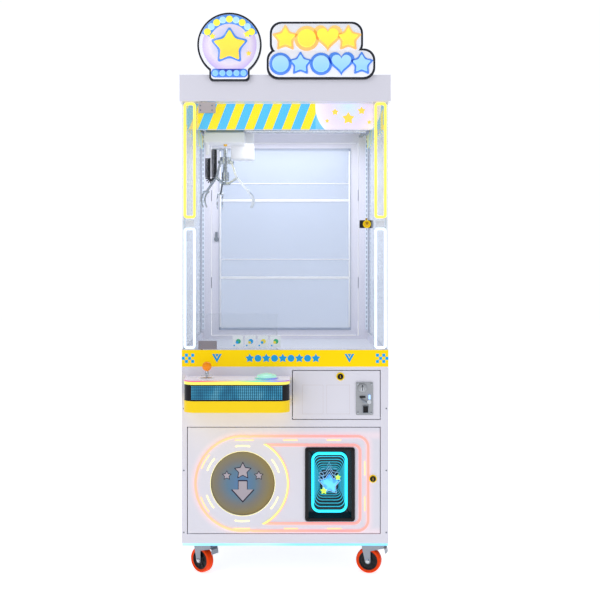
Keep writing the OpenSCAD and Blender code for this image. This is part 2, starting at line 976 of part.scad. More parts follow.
module claw_head() {
    color("silver")
        translate([claw_x, claw_y, 0]) {
            difference() {
                union() {
                    rod_z(8, 0, 0, [coil_z + coil_h - 1, eye_z]);
                    rod_z(coil_r, 0, 0, [coil_z, coil_z + coil_h]);
                    rod_z(collar_r, 0, 0, [collar_z, collar_z + collar_h]);
                    for (a = arm_turns, s = [-1, 1])
                        rotate([0, 0, a])
                            translate([collar_r - 6, s * (arm_w / 2 + clear + 2) - 2,
                                arm_pin_z - 6])
                                cube([18, 4, 12]);
                    span([curl_right - 8, 0], [-8, 8], [eye_z - 6, eye_z - 2]);
                }
                rod_z(plunger_d / 2 + fit, 0, 0, [coil_z - 1, coil_z + coil_h - 5]);
                for (a = arm_turns)
                    rotate([0, 0, a]) {
                        rod_y(arm_pin_d / 2 + fit, arm_pin_r, [-9, 9], arm_pin_z);
                        translate([collar_r - 8, -arm_w / 2 - clear, arm_pin_z - 20])
                            cube([12, arm_w + 2 * clear, 34]);
                    }
            }
        }
}

module claw_plunger() {
    color("gray")
        translate([claw_x, claw_y, 0]) {
            rod_z(plunger_d / 2, 0, 0, [hub_z, coil_z + 28]);
            rod_z(9, 0, 0, [hub_z, hub_z + hub_h]);
            for (a = arm_turns, s = [-1, 1])
                rotate([0, 0, a])
                    translate([4, s * (arm_w / 2 + 2 * clear + link_t + 1) - 1, hub_z])
                        cube([13, 2, hub_h]);
        }
}

// One arm in its own plane: X is the distance from the claw's axis
module claw_arm(turn) {
    arm_pin = [arm_pin_r, arm_pin_z];
    a0 = finger_angles[0];
    a1 = finger_angles[1];
    steps = 8;
    color("silver")
        translate([claw_x, claw_y, 0])
            rotate([0, 0, turn]) {
                slab(-arm_w / 2, arm_w) {
                    bar(arm_pin, elbow, 8);
                    bar(elbow, knee, 8);
                    translate(arm_pin)
                        circle(r = 5);
                    translate(elbow)
                        circle(r = 6);
                }
                for (p = [arm_pin, elbow])
                    rod_y(arm_pin_d / 2, p[0], [-arm_w / 2 - clear - 3.5,
                        arm_w / 2 + clear + 3.5], p[1]);
                rod_y(5, knee[0], [-13, 13], knee[1]);
                for (s = [-1, 1])
                    slab(s * 11 - 2, 4)
                        polygon(concat(
                            [for (i = [0 : steps]) let (a = a0 + (a1 - a0) * i / steps)
                                finger_c + (finger_r + 3) * [cos(a), sin(a)]],
                            [for (i = [steps : -1 : 0]) let (a = a0 + (a1 - a0) * i / steps)
                                finger_c + (finger_r - 3) * [cos(a), sin(a)]]));
            }
}

// A link between the plunger's hub and an arm's elbow: two cheeks outside the arm,
// joined by a block at the hub's end
module claw_link(turn) {
    cheek_y = arm_w / 2 + clear;
    along = (elbow - link_end) / norm(elbow - link_end);
    color("silver")
        translate([claw_x, claw_y, 0])
            rotate([0, 0, turn])
                difference() {
                    union() {
                        for (y = [-cheek_y - link_t, cheek_y])
                            slab(y, link_t) {
                                bar(link_end, elbow, 7);
                                translate(elbow)
                                    circle(r = 4.5);
                            }
                        slab(-cheek_y - link_t, 2 * (cheek_y + link_t))
                            bar(link_end, elbow - 20 * along, 6);
                    }
                    rod_y(arm_pin_d / 2 + fit, elbow[0], [-9, 9], elbow[1]);
                }
}

// ---------------------------------------------------------------- casters

module in_caster(i) {
    translate([caster_at[i][0], caster_at[i][1], 0])
        rotate([0, 0, caster_yaw[i]])
            children();
}

module caster_fork(i) {
    axle_z = wheel_d / 2;
    color("silver")
        in_caster(i) {
            difference() {
                union() {
                    span([-40, 52], [-leg_y - fork_t, leg_y + fork_t],
                        [fork_top - fork_t, fork_top]);
                    for (y = [-leg_y - fork_t, leg_y])
                        slab(y, fork_t) {
                            polygon([[52, fork_top], [trail + 11, axle_z], [trail - 11, axle_z],
                                [trail - 11, axle_z + 40], [-40, fork_top - 18],
                                [-40, fork_top]]);
                            translate([trail, axle_z])
                                circle(r = 11);
                        }
                    rod_z(stem_d / 2, 0, 0, [fork_top - 1, base_z - plate_t - 2]);
                }
                rod_y(pedal_pin_d / 2 + fit, pedal_pin[0], [-60, 60], pedal_pin[1]);
            }
            rod_y(axle_d / 2, trail, [-leg_y - fork_t - 4, leg_y + fork_t + 4], axle_z);
        }
}

module caster_wheel(i) {
    axle_z = wheel_d / 2;
    in_caster(i)
        translate([trail, wheel_w / 2, axle_z])
            rotate([90, 0, 0]) {
                color("black")
                    difference() {
                        cylinder(r = hub_r, h = wheel_w);
                        translate([0, 0, -1])
                            cylinder(d = axle_d + 2 * fit, h = wheel_w + 2);
                    }
                color("orangered")
                    difference() {
                        cylinder(r = axle_z, h = wheel_w, $fn = 96);
                        translate([0, 0, -1])
                            cylinder(r = hub_r, h = wheel_w + 2);
                    }
            }
}

module brake_pedal(i) {
    half = leg_y - 1;
    color("silver")
        in_caster(i) {
            slab(-half, 2 * half) {
                translate(pedal_pin)
                    circle(r = 4);
                bar(pedal_pin, pedal_pin + [-10, -8], 4);
                bar(pedal_pin + [-10, -8], pedal_pin + [-13, -26], 4);
            }
            rod_y(pedal_pin_d / 2, pedal_pin[0], [-leg_y - fork_t, leg_y + fork_t],
                pedal_pin[1]);
        }
}

base_frame();
side_panels();
rear_panel();
front_panel();
deck();
front_columns();
light_strips();
side_glass();
header_box();
canopy();
header_signs();
prize_chute();
console_tray();
console_display();
console_top();
gantry_rails();
electronics();
coin_box();
caster_fork(0);  // caster_fork_1
caster_fork(1);  // caster_fork_2
caster_fork(2);  // caster_fork_3
caster_fork(3);  // caster_fork_4
caster_wheel(0);  // caster_wheel_1
caster_wheel(1);  // caster_wheel_2
caster_wheel(2);  // caster_wheel_3
caster_wheel(3);  // caster_wheel_4
brake_pedal(0);  // brake_pedal_1
brake_pedal(1);  // brake_pedal_2
rear_door();
rear_lock();
front_glass();
glass_clamps();
front_lock();
lower_door();
door_lights();
light_box();
lower_lock();
prize_flap();
coin_door();
coin_acceptor();
reject_button();
coin_lock();
joystick_gimbal();
joystick_stick();
push_button();
bridge();
bridge_shaft();
trolley();
trolley_cover();
hoist_drum();
hoist_cord();
curly_cord();
claw_head();
claw_plunger();
claw_arm(arm_turns[0]);  // claw_arm_1
claw_arm(arm_turns[1]);  // claw_arm_2
claw_arm(arm_turns[2]);  // claw_arm_3
claw_link(arm_turns[0]);  // claw_link_1
claw_link(arm_turns[1]);  // claw_link_2
claw_link(arm_turns[2]);  // claw_link_3
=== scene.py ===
"""Visual model of a claw crane machine: finishes for its frame and the pieces that dress it.

Pieces are modelled in millimetres and made metres as they are finished.
Front faces -Y, +X is the viewer's right, +Z is up, and the casters stand on Z = 0.
"""

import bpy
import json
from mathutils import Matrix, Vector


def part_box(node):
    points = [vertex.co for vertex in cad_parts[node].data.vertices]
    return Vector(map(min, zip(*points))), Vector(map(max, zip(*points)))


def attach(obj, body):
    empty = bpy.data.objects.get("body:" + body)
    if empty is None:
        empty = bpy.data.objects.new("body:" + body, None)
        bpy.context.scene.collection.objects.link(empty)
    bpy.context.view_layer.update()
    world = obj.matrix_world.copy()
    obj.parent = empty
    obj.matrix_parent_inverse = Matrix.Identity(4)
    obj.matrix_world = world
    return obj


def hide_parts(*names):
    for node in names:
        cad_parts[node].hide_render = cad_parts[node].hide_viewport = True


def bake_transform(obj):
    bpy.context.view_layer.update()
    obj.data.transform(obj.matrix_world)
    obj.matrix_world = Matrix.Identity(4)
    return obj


bl_info = {
    "name": "Claw Crane Machine",
    "version": (1, 0, 0),
    "blender": (4, 5, 0),
    "location": "View3D > Sidebar > Crane",
    "description": "Dresses the claw crane machine with its finishes, lights, signs and cords",
    "category": "Object",
}

import json
import math

import bmesh
import bpy
from bpy.props import FloatProperty, FloatVectorProperty, IntProperty, PointerProperty
from mathutils import Matrix, Vector

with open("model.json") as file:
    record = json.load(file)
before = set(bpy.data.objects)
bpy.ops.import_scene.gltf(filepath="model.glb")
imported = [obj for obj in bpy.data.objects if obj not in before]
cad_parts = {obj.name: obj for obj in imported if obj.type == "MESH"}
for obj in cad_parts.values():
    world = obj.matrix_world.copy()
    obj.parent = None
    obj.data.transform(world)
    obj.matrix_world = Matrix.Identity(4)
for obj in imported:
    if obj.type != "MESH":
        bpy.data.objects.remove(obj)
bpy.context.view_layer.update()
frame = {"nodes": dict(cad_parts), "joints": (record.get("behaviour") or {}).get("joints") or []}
JOINTS = {joint["name"]: joint for joint in frame["joints"]}

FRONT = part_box("front_panel")[0].y * 1000
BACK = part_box("rear_panel")[1].y * 1000
HALF_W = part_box("side_panels")[1].x * 1000
BAND_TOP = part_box("front_panel")[1].z * 1000
CASE_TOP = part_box("header_box")[0].z * 1000

# Places on the machine, in millimetres: X and Z on its front, or X and Y of an upright axis.
HOLE = (-164, 369.5)
HOLE_RADIUS = 124
TRACK_REACH = 187
TRACK_END = 322.5
BADGE = (-214, 2063)
DOOR_LOCK = (316, 1374)
COIN_LOCK = (214, 784)
LOWER_LOCK = (340, 388)
STICK = (-297, -425)
BUTTON = (-70, -425)
HOIST = (-244, -125)
CURL = (-316, -125)
LID_TOP = 786
CANOPY_DISC_X = 248
CANOPY_SIDE = 0.3845  # metres; further out than this the canopy's film runs along Y
PALE = (0.8, 0.8, 0.8)  # a skin's colour where a print is fed in instead


def linear(code):
    """A colour written as #RRGGBB, as linear RGB."""
    values = [int(code[i : i + 2], 16) / 255 for i in (1, 3, 5)]
    return tuple(v / 12.92 if v <= 0.04045 else ((v + 0.055) / 1.055) ** 2.4 for v in values)


# ---------------------------------------------------------------- settings


def colour_setting(name, description, code):
    return FloatVectorProperty(
        name=name, description=description, subtype="COLOR", default=linear(code), min=0, max=1,
    )


def length_setting(name, description, default, low, high):
    return FloatProperty(
        name=name, description=description, subtype="DISTANCE", unit="LENGTH",
        default=default, min=low, max=high,
    )


class CabinetSettings(bpy.types.PropertyGroup):
    paint: colour_setting("Paint", "Colour of the cabinet's powder coat", "#E9E8F2")
    yellow: colour_setting("Yellow", "Colour of the front band and the console tray", "#FFD900")
    blue: colour_setting("Blue", "Colour of the marks printed on the band and the cards", "#14A6EA")
    band_height: length_setting(
        "Band height", "Height of the yellow band under the glass case", 0.065, 0.03, 0.12
    )


class LightSettings(bpy.types.PropertyGroup):
    neon_upper: colour_setting("Upper neon", "Colour of the upper neon loops", "#FFE447")
    neon_lower: colour_setting("Lower neon", "Colour of the lower neon loops", "#E4F1FF")
    base: colour_setting("Base glow", "Colour of the strip under the cabinet", "#A6DCF6")
    track: FloatProperty(
        name="Track brightness",
        description="Brightness of the lit tracks on the lower door",
        default=0.72,
        min=0,
        max=10,
    )


class CordSettings(bpy.types.PropertyGroup):
    curl_radius: length_setting(
        "Curl radius", "Radius of the curly cord's turns at the wire's centre", 0.0102, 0.004, 0.011
    )
    curl_wire: length_setting(
        "Curly cord wire", "Diameter of the curly cord's wire", 0.0038, 0.002, 0.005
    )
    curl_pitch: length_setting(
        "Curl pitch", "Distance between two turns of the curly cord", 0.0044, 0.0033, 0.008
    )


class CasterSettings(bpy.types.PropertyGroup):
    tyre: colour_setting("Tyre", "Colour of the polyurethane tyres", "#FA4705")
    ribs: IntProperty(
        name="Ribs",
        description="Number of ribs on each face of a wheel's hub",
        default=8,
        min=4,
        max=16,
    )


class StageSettings(bpy.types.PropertyGroup):
    key: FloatProperty(
        name="Key light",
        description="Power of the large soft light at the front left",
        subtype="POWER",
        unit="POWER",
        default=36,
        min=0,
        max=1000,
    )
    surround: FloatProperty(
        name="Surround",
        description="Brightness of the pale surround that lights the machine",
        default=0.39,
        min=0,
        max=4,
    )


# ---------------------------------------------------------------- node helpers


def feed(tree, value, socket):
    """Links a socket, or writes a plain value, into an input."""
    if isinstance(value, bpy.types.NodeSocket):
        tree.links.new(value, socket)
    elif value is not None:
        socket.default_value = value


def maths(tree, operation, a, b=None, c=None, clamp=False):
    node = tree.nodes.new("ShaderNodeMath")
    node.operation = operation
    node.use_clamp = clamp
    for value, socket in zip((a, b, c), node.inputs):
        feed(tree, value, socket)
    return node.outputs[0]


def smooth_step(tree, value, low, high):
    node = tree.nodes.new("ShaderNodeMapRange")
    node.interpolation_type = "SMOOTHSTEP"
    for name, item in (("Value", value), ("From Min", low), ("From Max", high)):
        feed(tree, item, node.inputs[name])
    return node.outputs["Result"]


def between(tree, value, low, high, soft):
    """1 where the value is from low to high, with soft edges."""
    up = smooth_step(tree, value, low - soft, low + soft)
    down = smooth_step(tree, value, high - soft, high + soft)
    return maths(tree, "SUBTRACT", up, down, clamp=True)


def blend_colours(tree, factor, a, b):
    node = tree.nodes.new("ShaderNodeMix")
    node.data_type = "RGBA"
    feed(tree, factor, node.inputs[0])
    for item, socket in ((a, node.inputs[6]), (b, node.inputs[7])):
        if isinstance(item, tuple):
            item = (*item[:3], 1)
        feed(tree, item, socket)
    return node.outputs[2]


def ramp(tree, factor, stops):
    """A colour along a factor, from stops of a place and a #RRGGBB code or a linear colour."""
    node = tree.nodes.new("ShaderNodeValToRGB")
    points = node.color_ramp.elements
    while len(points) < len(stops):
        points.new(0.5)
    for point, (place, colour) in zip(points, stops):
        point.position = place
        point.color = (*(linear(colour) if isinstance(colour, str) else colour), 1)
    feed(tree, factor, node.inputs[0])
    return node.outputs["Color"]


def noise(tree, place, scale, detail=2.0):
    node = tree.nodes.new("ShaderNodeTexNoise")
    feed(tree, place, node.inputs["Vector"])
    feed(tree, scale, node.inputs["Scale"])
    node.inputs["Detail"].default_value = detail
    return node.outputs["Fac"]


def stretch(tree, place, factors):
    """A place with each of its coordinates times a factor of its own."""
    node = tree.nodes.new("ShaderNodeVectorMath")
    node.operation = "MULTIPLY"
    feed(tree, place, node.inputs[0])
    node.inputs[1].default_value = factors
    return node.outputs[0]


def scaled(tree, colour, factor):
    node = tree.nodes.new("ShaderNodeVectorMath")
    node.operation = "SCALE"
    feed(tree, colour, node.inputs[0])
    feed(tree, factor, node.inputs["Scale"])
    return node.outputs[0]


def axes(tree, place):
    node = tree.nodes.new("ShaderNodeSeparateXYZ")
    feed(tree, place, node.inputs[0])
    return node.outputs["X"], node.outputs["Y"], node.outputs["Z"]


def radius_from(tree, x, z, centre):
    """Distance in X and Z from a centre in millimetres, in metres."""
    squares = []
    for value, middle in zip((x, z), centre):
        squares.append(maths(tree, "POWER", maths(tree, "SUBTRACT", value, middle / 1000), 2.0))
    return maths(tree, "SQRT", maths(tree, "ADD", *squares))


# ---------------------------------------------------------------- shared effects


def shared_group(name, inputs, outputs):
    """A new node group with its input and output nodes."""
    tree = bpy.data.node_groups.new(name, "ShaderNodeTree")
    kinds = {"vector": "NodeSocketVector", "colour": "NodeSocketColor", "value": "NodeSocketFloat"}
    for label, kind, default in inputs:
        socket = tree.interface.new_socket(name=label, in_out="INPUT", socket_type=kinds[kind])
        if default is not None:
            socket.default_value = default
    for label, kind in outputs:
        tree.interface.new_socket(name=label, in_out="OUTPUT", socket_type=kinds[kind])
    return tree, tree.nodes.new("NodeGroupInput").outputs, tree.nodes.new("NodeGroupOutput").inputs


SKIN_INPUTS = [
    ("Place", "vector", None),
    ("Colour", "colour", (0.8, 0.8, 0.8, 1)),
    ("Roughness", "value", 0.4),
    ("Grain", "value", 600.0),
]
SKIN_OUTPUTS = [("Colour", "colour"), ("Roughness", "value"), ("Height", "value")]


def powder_coat():
    """Fine orange peel, a faint cloudiness and a little dust on upward faces."""
    tree, inside, out = shared_group("Powder Coat", SKIN_INPUTS, SKIN_OUTPUTS)
    cloud = noise(tree, inside["Place"], 2.4, 3)
    peel = noise(tree, inside["Place"], inside["Grain"], 1)
    rub = noise(tree, inside["Place"], 23.0, 4)
    normal = tree.nodes.new("ShaderNodeNewGeometry").outputs["Normal"]
    up = smooth_step(tree, axes(tree, normal)[2], 0.7, 0.98)
    dust = maths(tree, "MULTIPLY", up, maths(tree, "MULTIPLY", rub, 0.22))
    clouded = scaled(tree, inside["Colour"], maths(tree, "MULTIPLY_ADD", cloud, 0.05, 0.955))
    feed(tree, blend_colours(tree, dust, clouded, linear("#CFCBC4")), out["Colour"])
    rough = maths(tree, "MULTIPLY_ADD", rub, 0.14, -0.07)
    rough = maths(tree, "ADD", rough, inside["Roughness"])
    feed(tree, maths(tree, "MULTIPLY_ADD", dust, 0.8, rough, clamp=True), out["Roughness"])
    feed(tree, peel, out["Height"])
    return tree


def moulded_skin():
    """Fine mould texture with soft flow marks, for plastics."""
    tree, inside, out = shared_group("Moulded Skin", SKIN_INPUTS, SKIN_OUTPUTS)
    flow = noise(tree, stretch(tree, inside["Place"], (5, 5, 14)), 1.3, 3)
    grain = noise(tree, inside["Place"], inside["Grain"], 2)
    shade = maths(tree, "MULTIPLY_ADD", flow, 0.09, 0.945)
    feed(tree, scaled(tree, inside["Colour"], shade), out["Colour"])
    rough = maths(tree, "MULTIPLY_ADD", grain, 0.12, -0.06)
    feed(tree, maths(tree, "ADD", rough, inside["Roughness"], clamp=True), out["Roughness"])
    feed(tree, grain, out["Height"])
    return tree


def brushed_grain():
    """Long brush lines along X with dull patches, for bare and plated metal."""
    tree, inside, out = shared_group("Brushed Grain", SKIN_INPUTS, SKIN_OUTPUTS)
    lines = noise(tree, stretch(tree, inside["Place"], (0.06, 1, 1)), inside["Grain"], 3)
    patch = noise(tree, inside["Place"], 38.0, 4)
    shade = maths(tree, "MULTIPLY_ADD", lines, 0.22, 0.84)
    shade = maths(tree, "MULTIPLY_ADD", patch, 0.12, maths(tree, "SUBTRACT", shade, 0.06))
    feed(tree, scaled(tree, inside["Colour"], shade), out["Colour"])
    rough = maths(tree, "MULTIPLY_ADD", patch, 0.3, -0.15)
    rough = maths(tree, "MULTIPLY_ADD", lines, 0.1, rough)
    feed(tree, maths(tree, "ADD", rough, inside["Roughness"], clamp=True), out["Roughness"])
    feed(tree, lines, out["Height"])
    return tree


def slanted_stripes():
    """Stripes that lean to the right, with their period, share, lean and start."""
    tree, inside, out = shared_group(
        "Slanted Stripes",
        [("Place", "vector", None), ("Period", "value", 0.073), ("Share", "value", 0.48),
         ("Lean", "value", 0.28), ("Start", "value", 0.0)],
        [("Mask", "value")],
    )
    x, _, z = axes(tree, inside["Place"])
    along = maths(tree, "SUBTRACT", x, maths(tree, "MULTIPLY", z, inside["Lean"]))
    along = maths(tree, "DIVIDE", maths(tree, "SUBTRACT", along, inside["Start"]), inside["Period"])
    turn = maths(tree, "FRACT", along)
    up = smooth_step(tree, turn, 0.0, 0.012)
    down = smooth_step(tree, maths(tree, "SUBTRACT", turn, inside["Share"]), -0.006, 0.006)
    feed(tree, maths(tree, "SUBTRACT", up, down, clamp=True), out["Mask"])
    return tree


def dash_row():
    """Dashes along a coordinate, each taking a share of the pitch."""
    tree, inside, out = shared_group(
        "Dash Row",
        [("Along", "value", 0.0), ("Pitch", "value", 0.02), ("Share", "value", 0.5)],
        [("Mask", "value")],
    )
    turn = maths(tree, "FRACT", maths(tree, "DIVIDE", inside["Along"], inside["Pitch"]))
    away = maths(tree, "ABSOLUTE", maths(tree, "SUBTRACT", turn, 0.5))
    edge = maths(tree, "SUBTRACT", maths(tree, "MULTIPLY", inside["Share"], 0.5), away)
    feed(tree, smooth_step(tree, edge, -0.03, 0.03), out["Mask"])
    return tree


SHARED = {
    "Powder Coat": powder_coat,
    "Moulded Skin": moulded_skin,
    "Brushed Grain": brushed_grain,
    "Slanted Stripes": slanted_stripes,
    "Dash Row": dash_row,
}


class Finish:
    """One material being made: its nodes, its surface shader and its object coordinates."""

    def __init__(self, name):
        self.material = bpy.data.materials.new(name)
        self.material.use_nodes = True
        self.tree = self.material.node_tree
        self.shader = next(n for n in self.tree.nodes if n.type == "BSDF_PRINCIPLED")
        self.place = self.tree.nodes.new("ShaderNodeTexCoord").outputs["Object"]

    def set(self, name, value):
        if isinstance(value, tuple) and len(value) == 3:
            value = (*value, 1)
        feed(self.tree, value, self.shader.inputs[name])

    def glow(self, colour, strength):
        self.set("Emission Color", colour)
        self.set("Emission Strength", strength)

    def effect(self, name, **inputs):
        """Places a shared effect and gives its outputs."""
        node = self.tree.nodes.new("ShaderNodeGroup")
        node.node_tree = bpy.data.node_groups.get(name) or SHARED[name]()
        for label, value in inputs.items():
            if isinstance(value, tuple) and len(value) == 3:
                value = (*value, 1)
            feed(self.tree, value, node.inputs[label])
        return node.outputs

    def bump(self, height, depth, strength=1.0):
        node = self.tree.nodes.new("ShaderNodeBump")
        node.inputs["Strength"].default_value = strength
        node.inputs["Distance"].default_value = depth
        feed(self.tree, height, node.inputs["Height"])
        self.set("Normal", node.outputs["Normal"])

    def skin(self, kind, colour, roughness, grain, depth, strength=0.3):
        """Feeds a shared skin into the shader, with its height as a fine bump."""
        out = self.effect(kind, Place=self.place, Colour=colour, Roughness=roughness, Grain=grain)
        self.set("Base Color", out["Colour"])
        self.set("Roughness", out["Roughness"])
        self.bump(out["Height"], depth, strength)
        return self


# ---------------------------------------------------------------- finishes


def painted(name, colour, roughness=0.38):
    finish = Finish(name).skin("Powder Coat", colour, roughness, 900.0, 0.00025, 0.25)
    finish.set("Specular IOR Level", 0.45)
    return finish.material


def moulded(name, colour, roughness=0.3, grain=700.0, coat=0.0, glow=0.0):
    finish = Finish(name).skin("Moulded Skin", colour, roughness, grain, 0.0002, 0.2)
    finish.set("Specular IOR Level", 0.25)
    finish.set("Coat Weight", coat)
    finish.set("Coat Roughness", 0.12)
    if glow:
        finish.glow(colour, glow)
    return finish.material


def metal(name, colour, roughness=0.3, grain=900.0, depth=0.00015):
    finish = Finish(name).skin("Brushed Grain", colour, roughness, grain, depth, 0.2)
    finish.set("Metallic", 1.0)
    return finish.material


def clear(name, colour, body, edge, roughness=0.06, glow=0.0):
    """A clear sheet: what it hides of what is behind it, and more at a grazing angle. On the panes its
    pale body stands in for the white studio reflected in the sheet: a painted reflection.
    """
    finish = Finish(name)
    tree = finish.tree
    facing = tree.nodes.new("ShaderNodeLayerWeight")
    facing.inputs["Blend"].default_value = 0.4
    # The pale body is a painted reflection: a pale layer standing in for the white studio seen in the
    # pane.
    alpha = maths(tree, "MULTIPLY_ADD", facing.outputs["Facing"], edge, body, clamp=True)
    finish.set("Alpha", alpha)
    haze = noise(tree, finish.place, 5.0, 4)
    finish.set("Base Color", blend_colours(tree, haze, colour, tuple(c * 0.93 for c in colour)))
    finish.set("Roughness", maths(tree, "MULTIPLY_ADD", haze, 0.06, roughness))
    finish.set("IOR", 1.49)
    if glow:
        finish.glow(colour, glow)
    return finish.material


def lit(name, colour, strength, second=None, scale=3.0):
    """A glowing diffuser, with two colours that drift into each other."""
    finish = Finish(name)
    tree = finish.tree
    drift = smooth_step(tree, noise(tree, finish.place, scale, 1), 0.4, 0.6)
    mixed = blend_colours(tree, drift, colour, second or tuple(c * 0.94 for c in colour))
    finish.set("Base Color", mixed)
    finish.glow(mixed, strength)
    finish.set("Roughness", 0.35)
    return finish.material


def canopy_film(name):
    """Azure and yellow slanted stripes, with a pale round patch at the front's right."""
    finish = Finish(name)
    tree = finish.tree
    x, y, z = axes(tree, finish.place)
    side = maths(tree, "GREATER_THAN", maths(tree, "ABSOLUTE", x), CANOPY_SIDE)
    along = tree.nodes.new("ShaderNodeCombineXYZ")
    feed(tree, maths(tree, "MULTIPLY_ADD", side, maths(tree, "SUBTRACT", y, x), x), along.inputs["X"])
    feed(tree, z, along.inputs["Z"])
    mask = finish.effect(
        "Slanted Stripes", Place=along.outputs["Vector"], Period=0.073, Share=0.5, Lean=0.39, Start=-0.9866
    )["Mask"]
    stripes = blend_colours(tree, mask, linear("#52C0F7"), linear("#FFE722"))
    radius = radius_from(tree, x, z, (CANOPY_DISC_X, CASE_TOP - 12))
    disc = maths(tree, "SUBTRACT", 1.0, smooth_step(tree, radius, 0.128, 0.130))
    right = between(tree, x, 0.120, 0.375, 0.001)
    front = maths(tree, "LESS_THAN", y, FRONT / 1000 + 0.06)
    pale = ramp(
        tree,
        maths(tree, "MULTIPLY", radius, 7.5),
        [(0.0, "#CFE6FF"), (0.55, "#E7DDFB"), (0.85, "#F7EAF2"), (1.0, "#FFFFFF")],
    )
    field = blend_colours(tree, maths(tree, "MULTIPLY", right, front), stripes, linear("#7CCBF3"))
    pattern = blend_colours(tree, maths(tree, "MULTIPLY", disc, front), field, pale)
    finish.skin("Moulded Skin", PALE, 0.34, 500.0, 0.0001, 0.15)
    finish.set("Base Color", pattern)
    finish.set("Specular IOR Level", 0.2)
    finish.glow(pattern, 0.3)
    return finish.material


def band_film(name):
    """The yellow band, with a blue check at each end."""
    finish = Finish(name)
    tree = finish.tree
    settings = bpy.context.scene.crane_cabinet
    x, _, z = axes(tree, finish.place)
    cell = 0.0121
    middle = BAND_TOP / 1000 - settings.band_height / 2
    check_low, check_high = middle - 1.5 * cell, middle + 1.5 * cell
    from_edge = maths(tree, "SUBTRACT", HALF_W / 1000, maths(tree, "ABSOLUTE", x))
    column = maths(tree, "FLOOR", maths(tree, "DIVIDE", from_edge, cell))
    row = maths(tree, "FLOOR", maths(tree, "DIVIDE", maths(tree, "SUBTRACT", z, check_low), cell))
    parity = maths(tree, "MODULO", maths(tree, "ADD", column, maths(tree, "ADD", row, 8.0)), 2.0)
    near = maths(tree, "LESS_THAN", from_edge, 4 * cell)
    rows = between(tree, z, check_low, check_high, 0.0001)
    mask = maths(tree, "MULTIPLY", maths(tree, "MULTIPLY", parity, near), rows)
    colour = blend_colours(tree, mask, tuple(settings.yellow), tuple(settings.blue))
    finish.skin("Moulded Skin", PALE, 0.36, 500.0, 0.0001, 0.2)
    finish.set("Base Color", colour)
    finish.set("Specular IOR Level", 0.12)
    # A faint glow on the printed band: painted light, as the band is no lamp.
    finish.glow(colour, 0.16)
    return finish.material


def dot_display(name):
    """A black window with a grid of lit blue dots over its middle."""
    finish = Finish(name)
    tree = finish.tree
    x, _, z = axes(tree, finish.place)
    low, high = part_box("console_display")
    left, right = low.x + 0.029, high.x - 0.027
    bottom, top = low.z + 0.005, high.z - 0.004
    inside = maths(
        tree, "MULTIPLY", between(tree, x, left, right, 0.0006), between(tree, z, bottom, top, 0.0006)
    )
    along = maths(tree, "SUBTRACT", x, left)
    columns = finish.effect("Dash Row", Along=along, Pitch=(right - left) / 46, Share=0.74)["Mask"]
    rise = maths(tree, "SUBTRACT", z, bottom)
    rows = finish.effect("Dash Row", Along=rise, Pitch=(top - bottom) / 9, Share=0.72)["Mask"]
    dots = maths(tree, "MULTIPLY", maths(tree, "MULTIPLY", columns, rows), inside)
    wave = noise(tree, stretch(tree, finish.place, (14, 0, 9)), 1.0, 2)
    tone = ramp(tree, wave, [(0.25, "#1A6A96"), (0.5, "#3BA0CC"), (0.75, "#7FD3F0")])
    halo = blend_colours(tree, inside, (0.003, 0.003, 0.004), linear("#05283C"))
    finish.set("Base Color", (0.006, 0.006, 0.008))
    finish.glow(blend_colours(tree, dots, halo, tone), 0.9)
    finish.set("Specular IOR Level", 0.15)
    finish.set("Roughness", maths(tree, "MULTIPLY_ADD", wave, 0.08, 0.16))
    return finish.material


def console_acrylic(name):
    """The console's lid: pale on top, yellow in its edge, with a rainbow line at the rim."""
    finish = Finish(name)
    tree = finish.tree
    x, y, z = axes(tree, finish.place)
    low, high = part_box("console_top")
    rainbow = ramp(
        tree,
        maths(tree, "DIVIDE", maths(tree, "SUBTRACT", x, low.x), high.x - low.x),
        [(0.0, "#E0189A"), (0.16, "#F0457A"), (0.34, "#F6B37A"), (0.52, "#D9E36A"),
         (0.68, "#5FE0B0"), (0.85, "#7A8CF0"), (1.0, "#C23BC0")],
    )
    normal = tree.nodes.new("ShaderNodeNewGeometry").outputs["Normal"]
    up = smooth_step(tree, axes(tree, normal)[2], 0.4, 0.9)
    rim = smooth_step(tree, z, LID_TOP / 1000 - 0.0044, LID_TOP / 1000 - 0.0032)
    edge = blend_colours(tree, rim, linear("#F6EE5A"), rainbow)
    reach = smooth_step(tree, y, FRONT / 1000 - 0.15, FRONT / 1000 - 0.09)
    lid = blend_colours(tree, reach, rainbow, linear("#EFEAF2"))
    lid = blend_colours(tree, 0.62, lid, linear("#F2EEF4"))
    colour = blend_colours(tree, up, edge, lid)
    finish.skin("Moulded Skin", PALE, 0.16, 500.0, 0.0001, 0.1)
    finish.set("Base Color", colour)
    finish.glow(colour, 0.28)
    finish.set("Coat Weight", 0.6)
    finish.set("Coat Roughness", 0.05)
    return finish.material


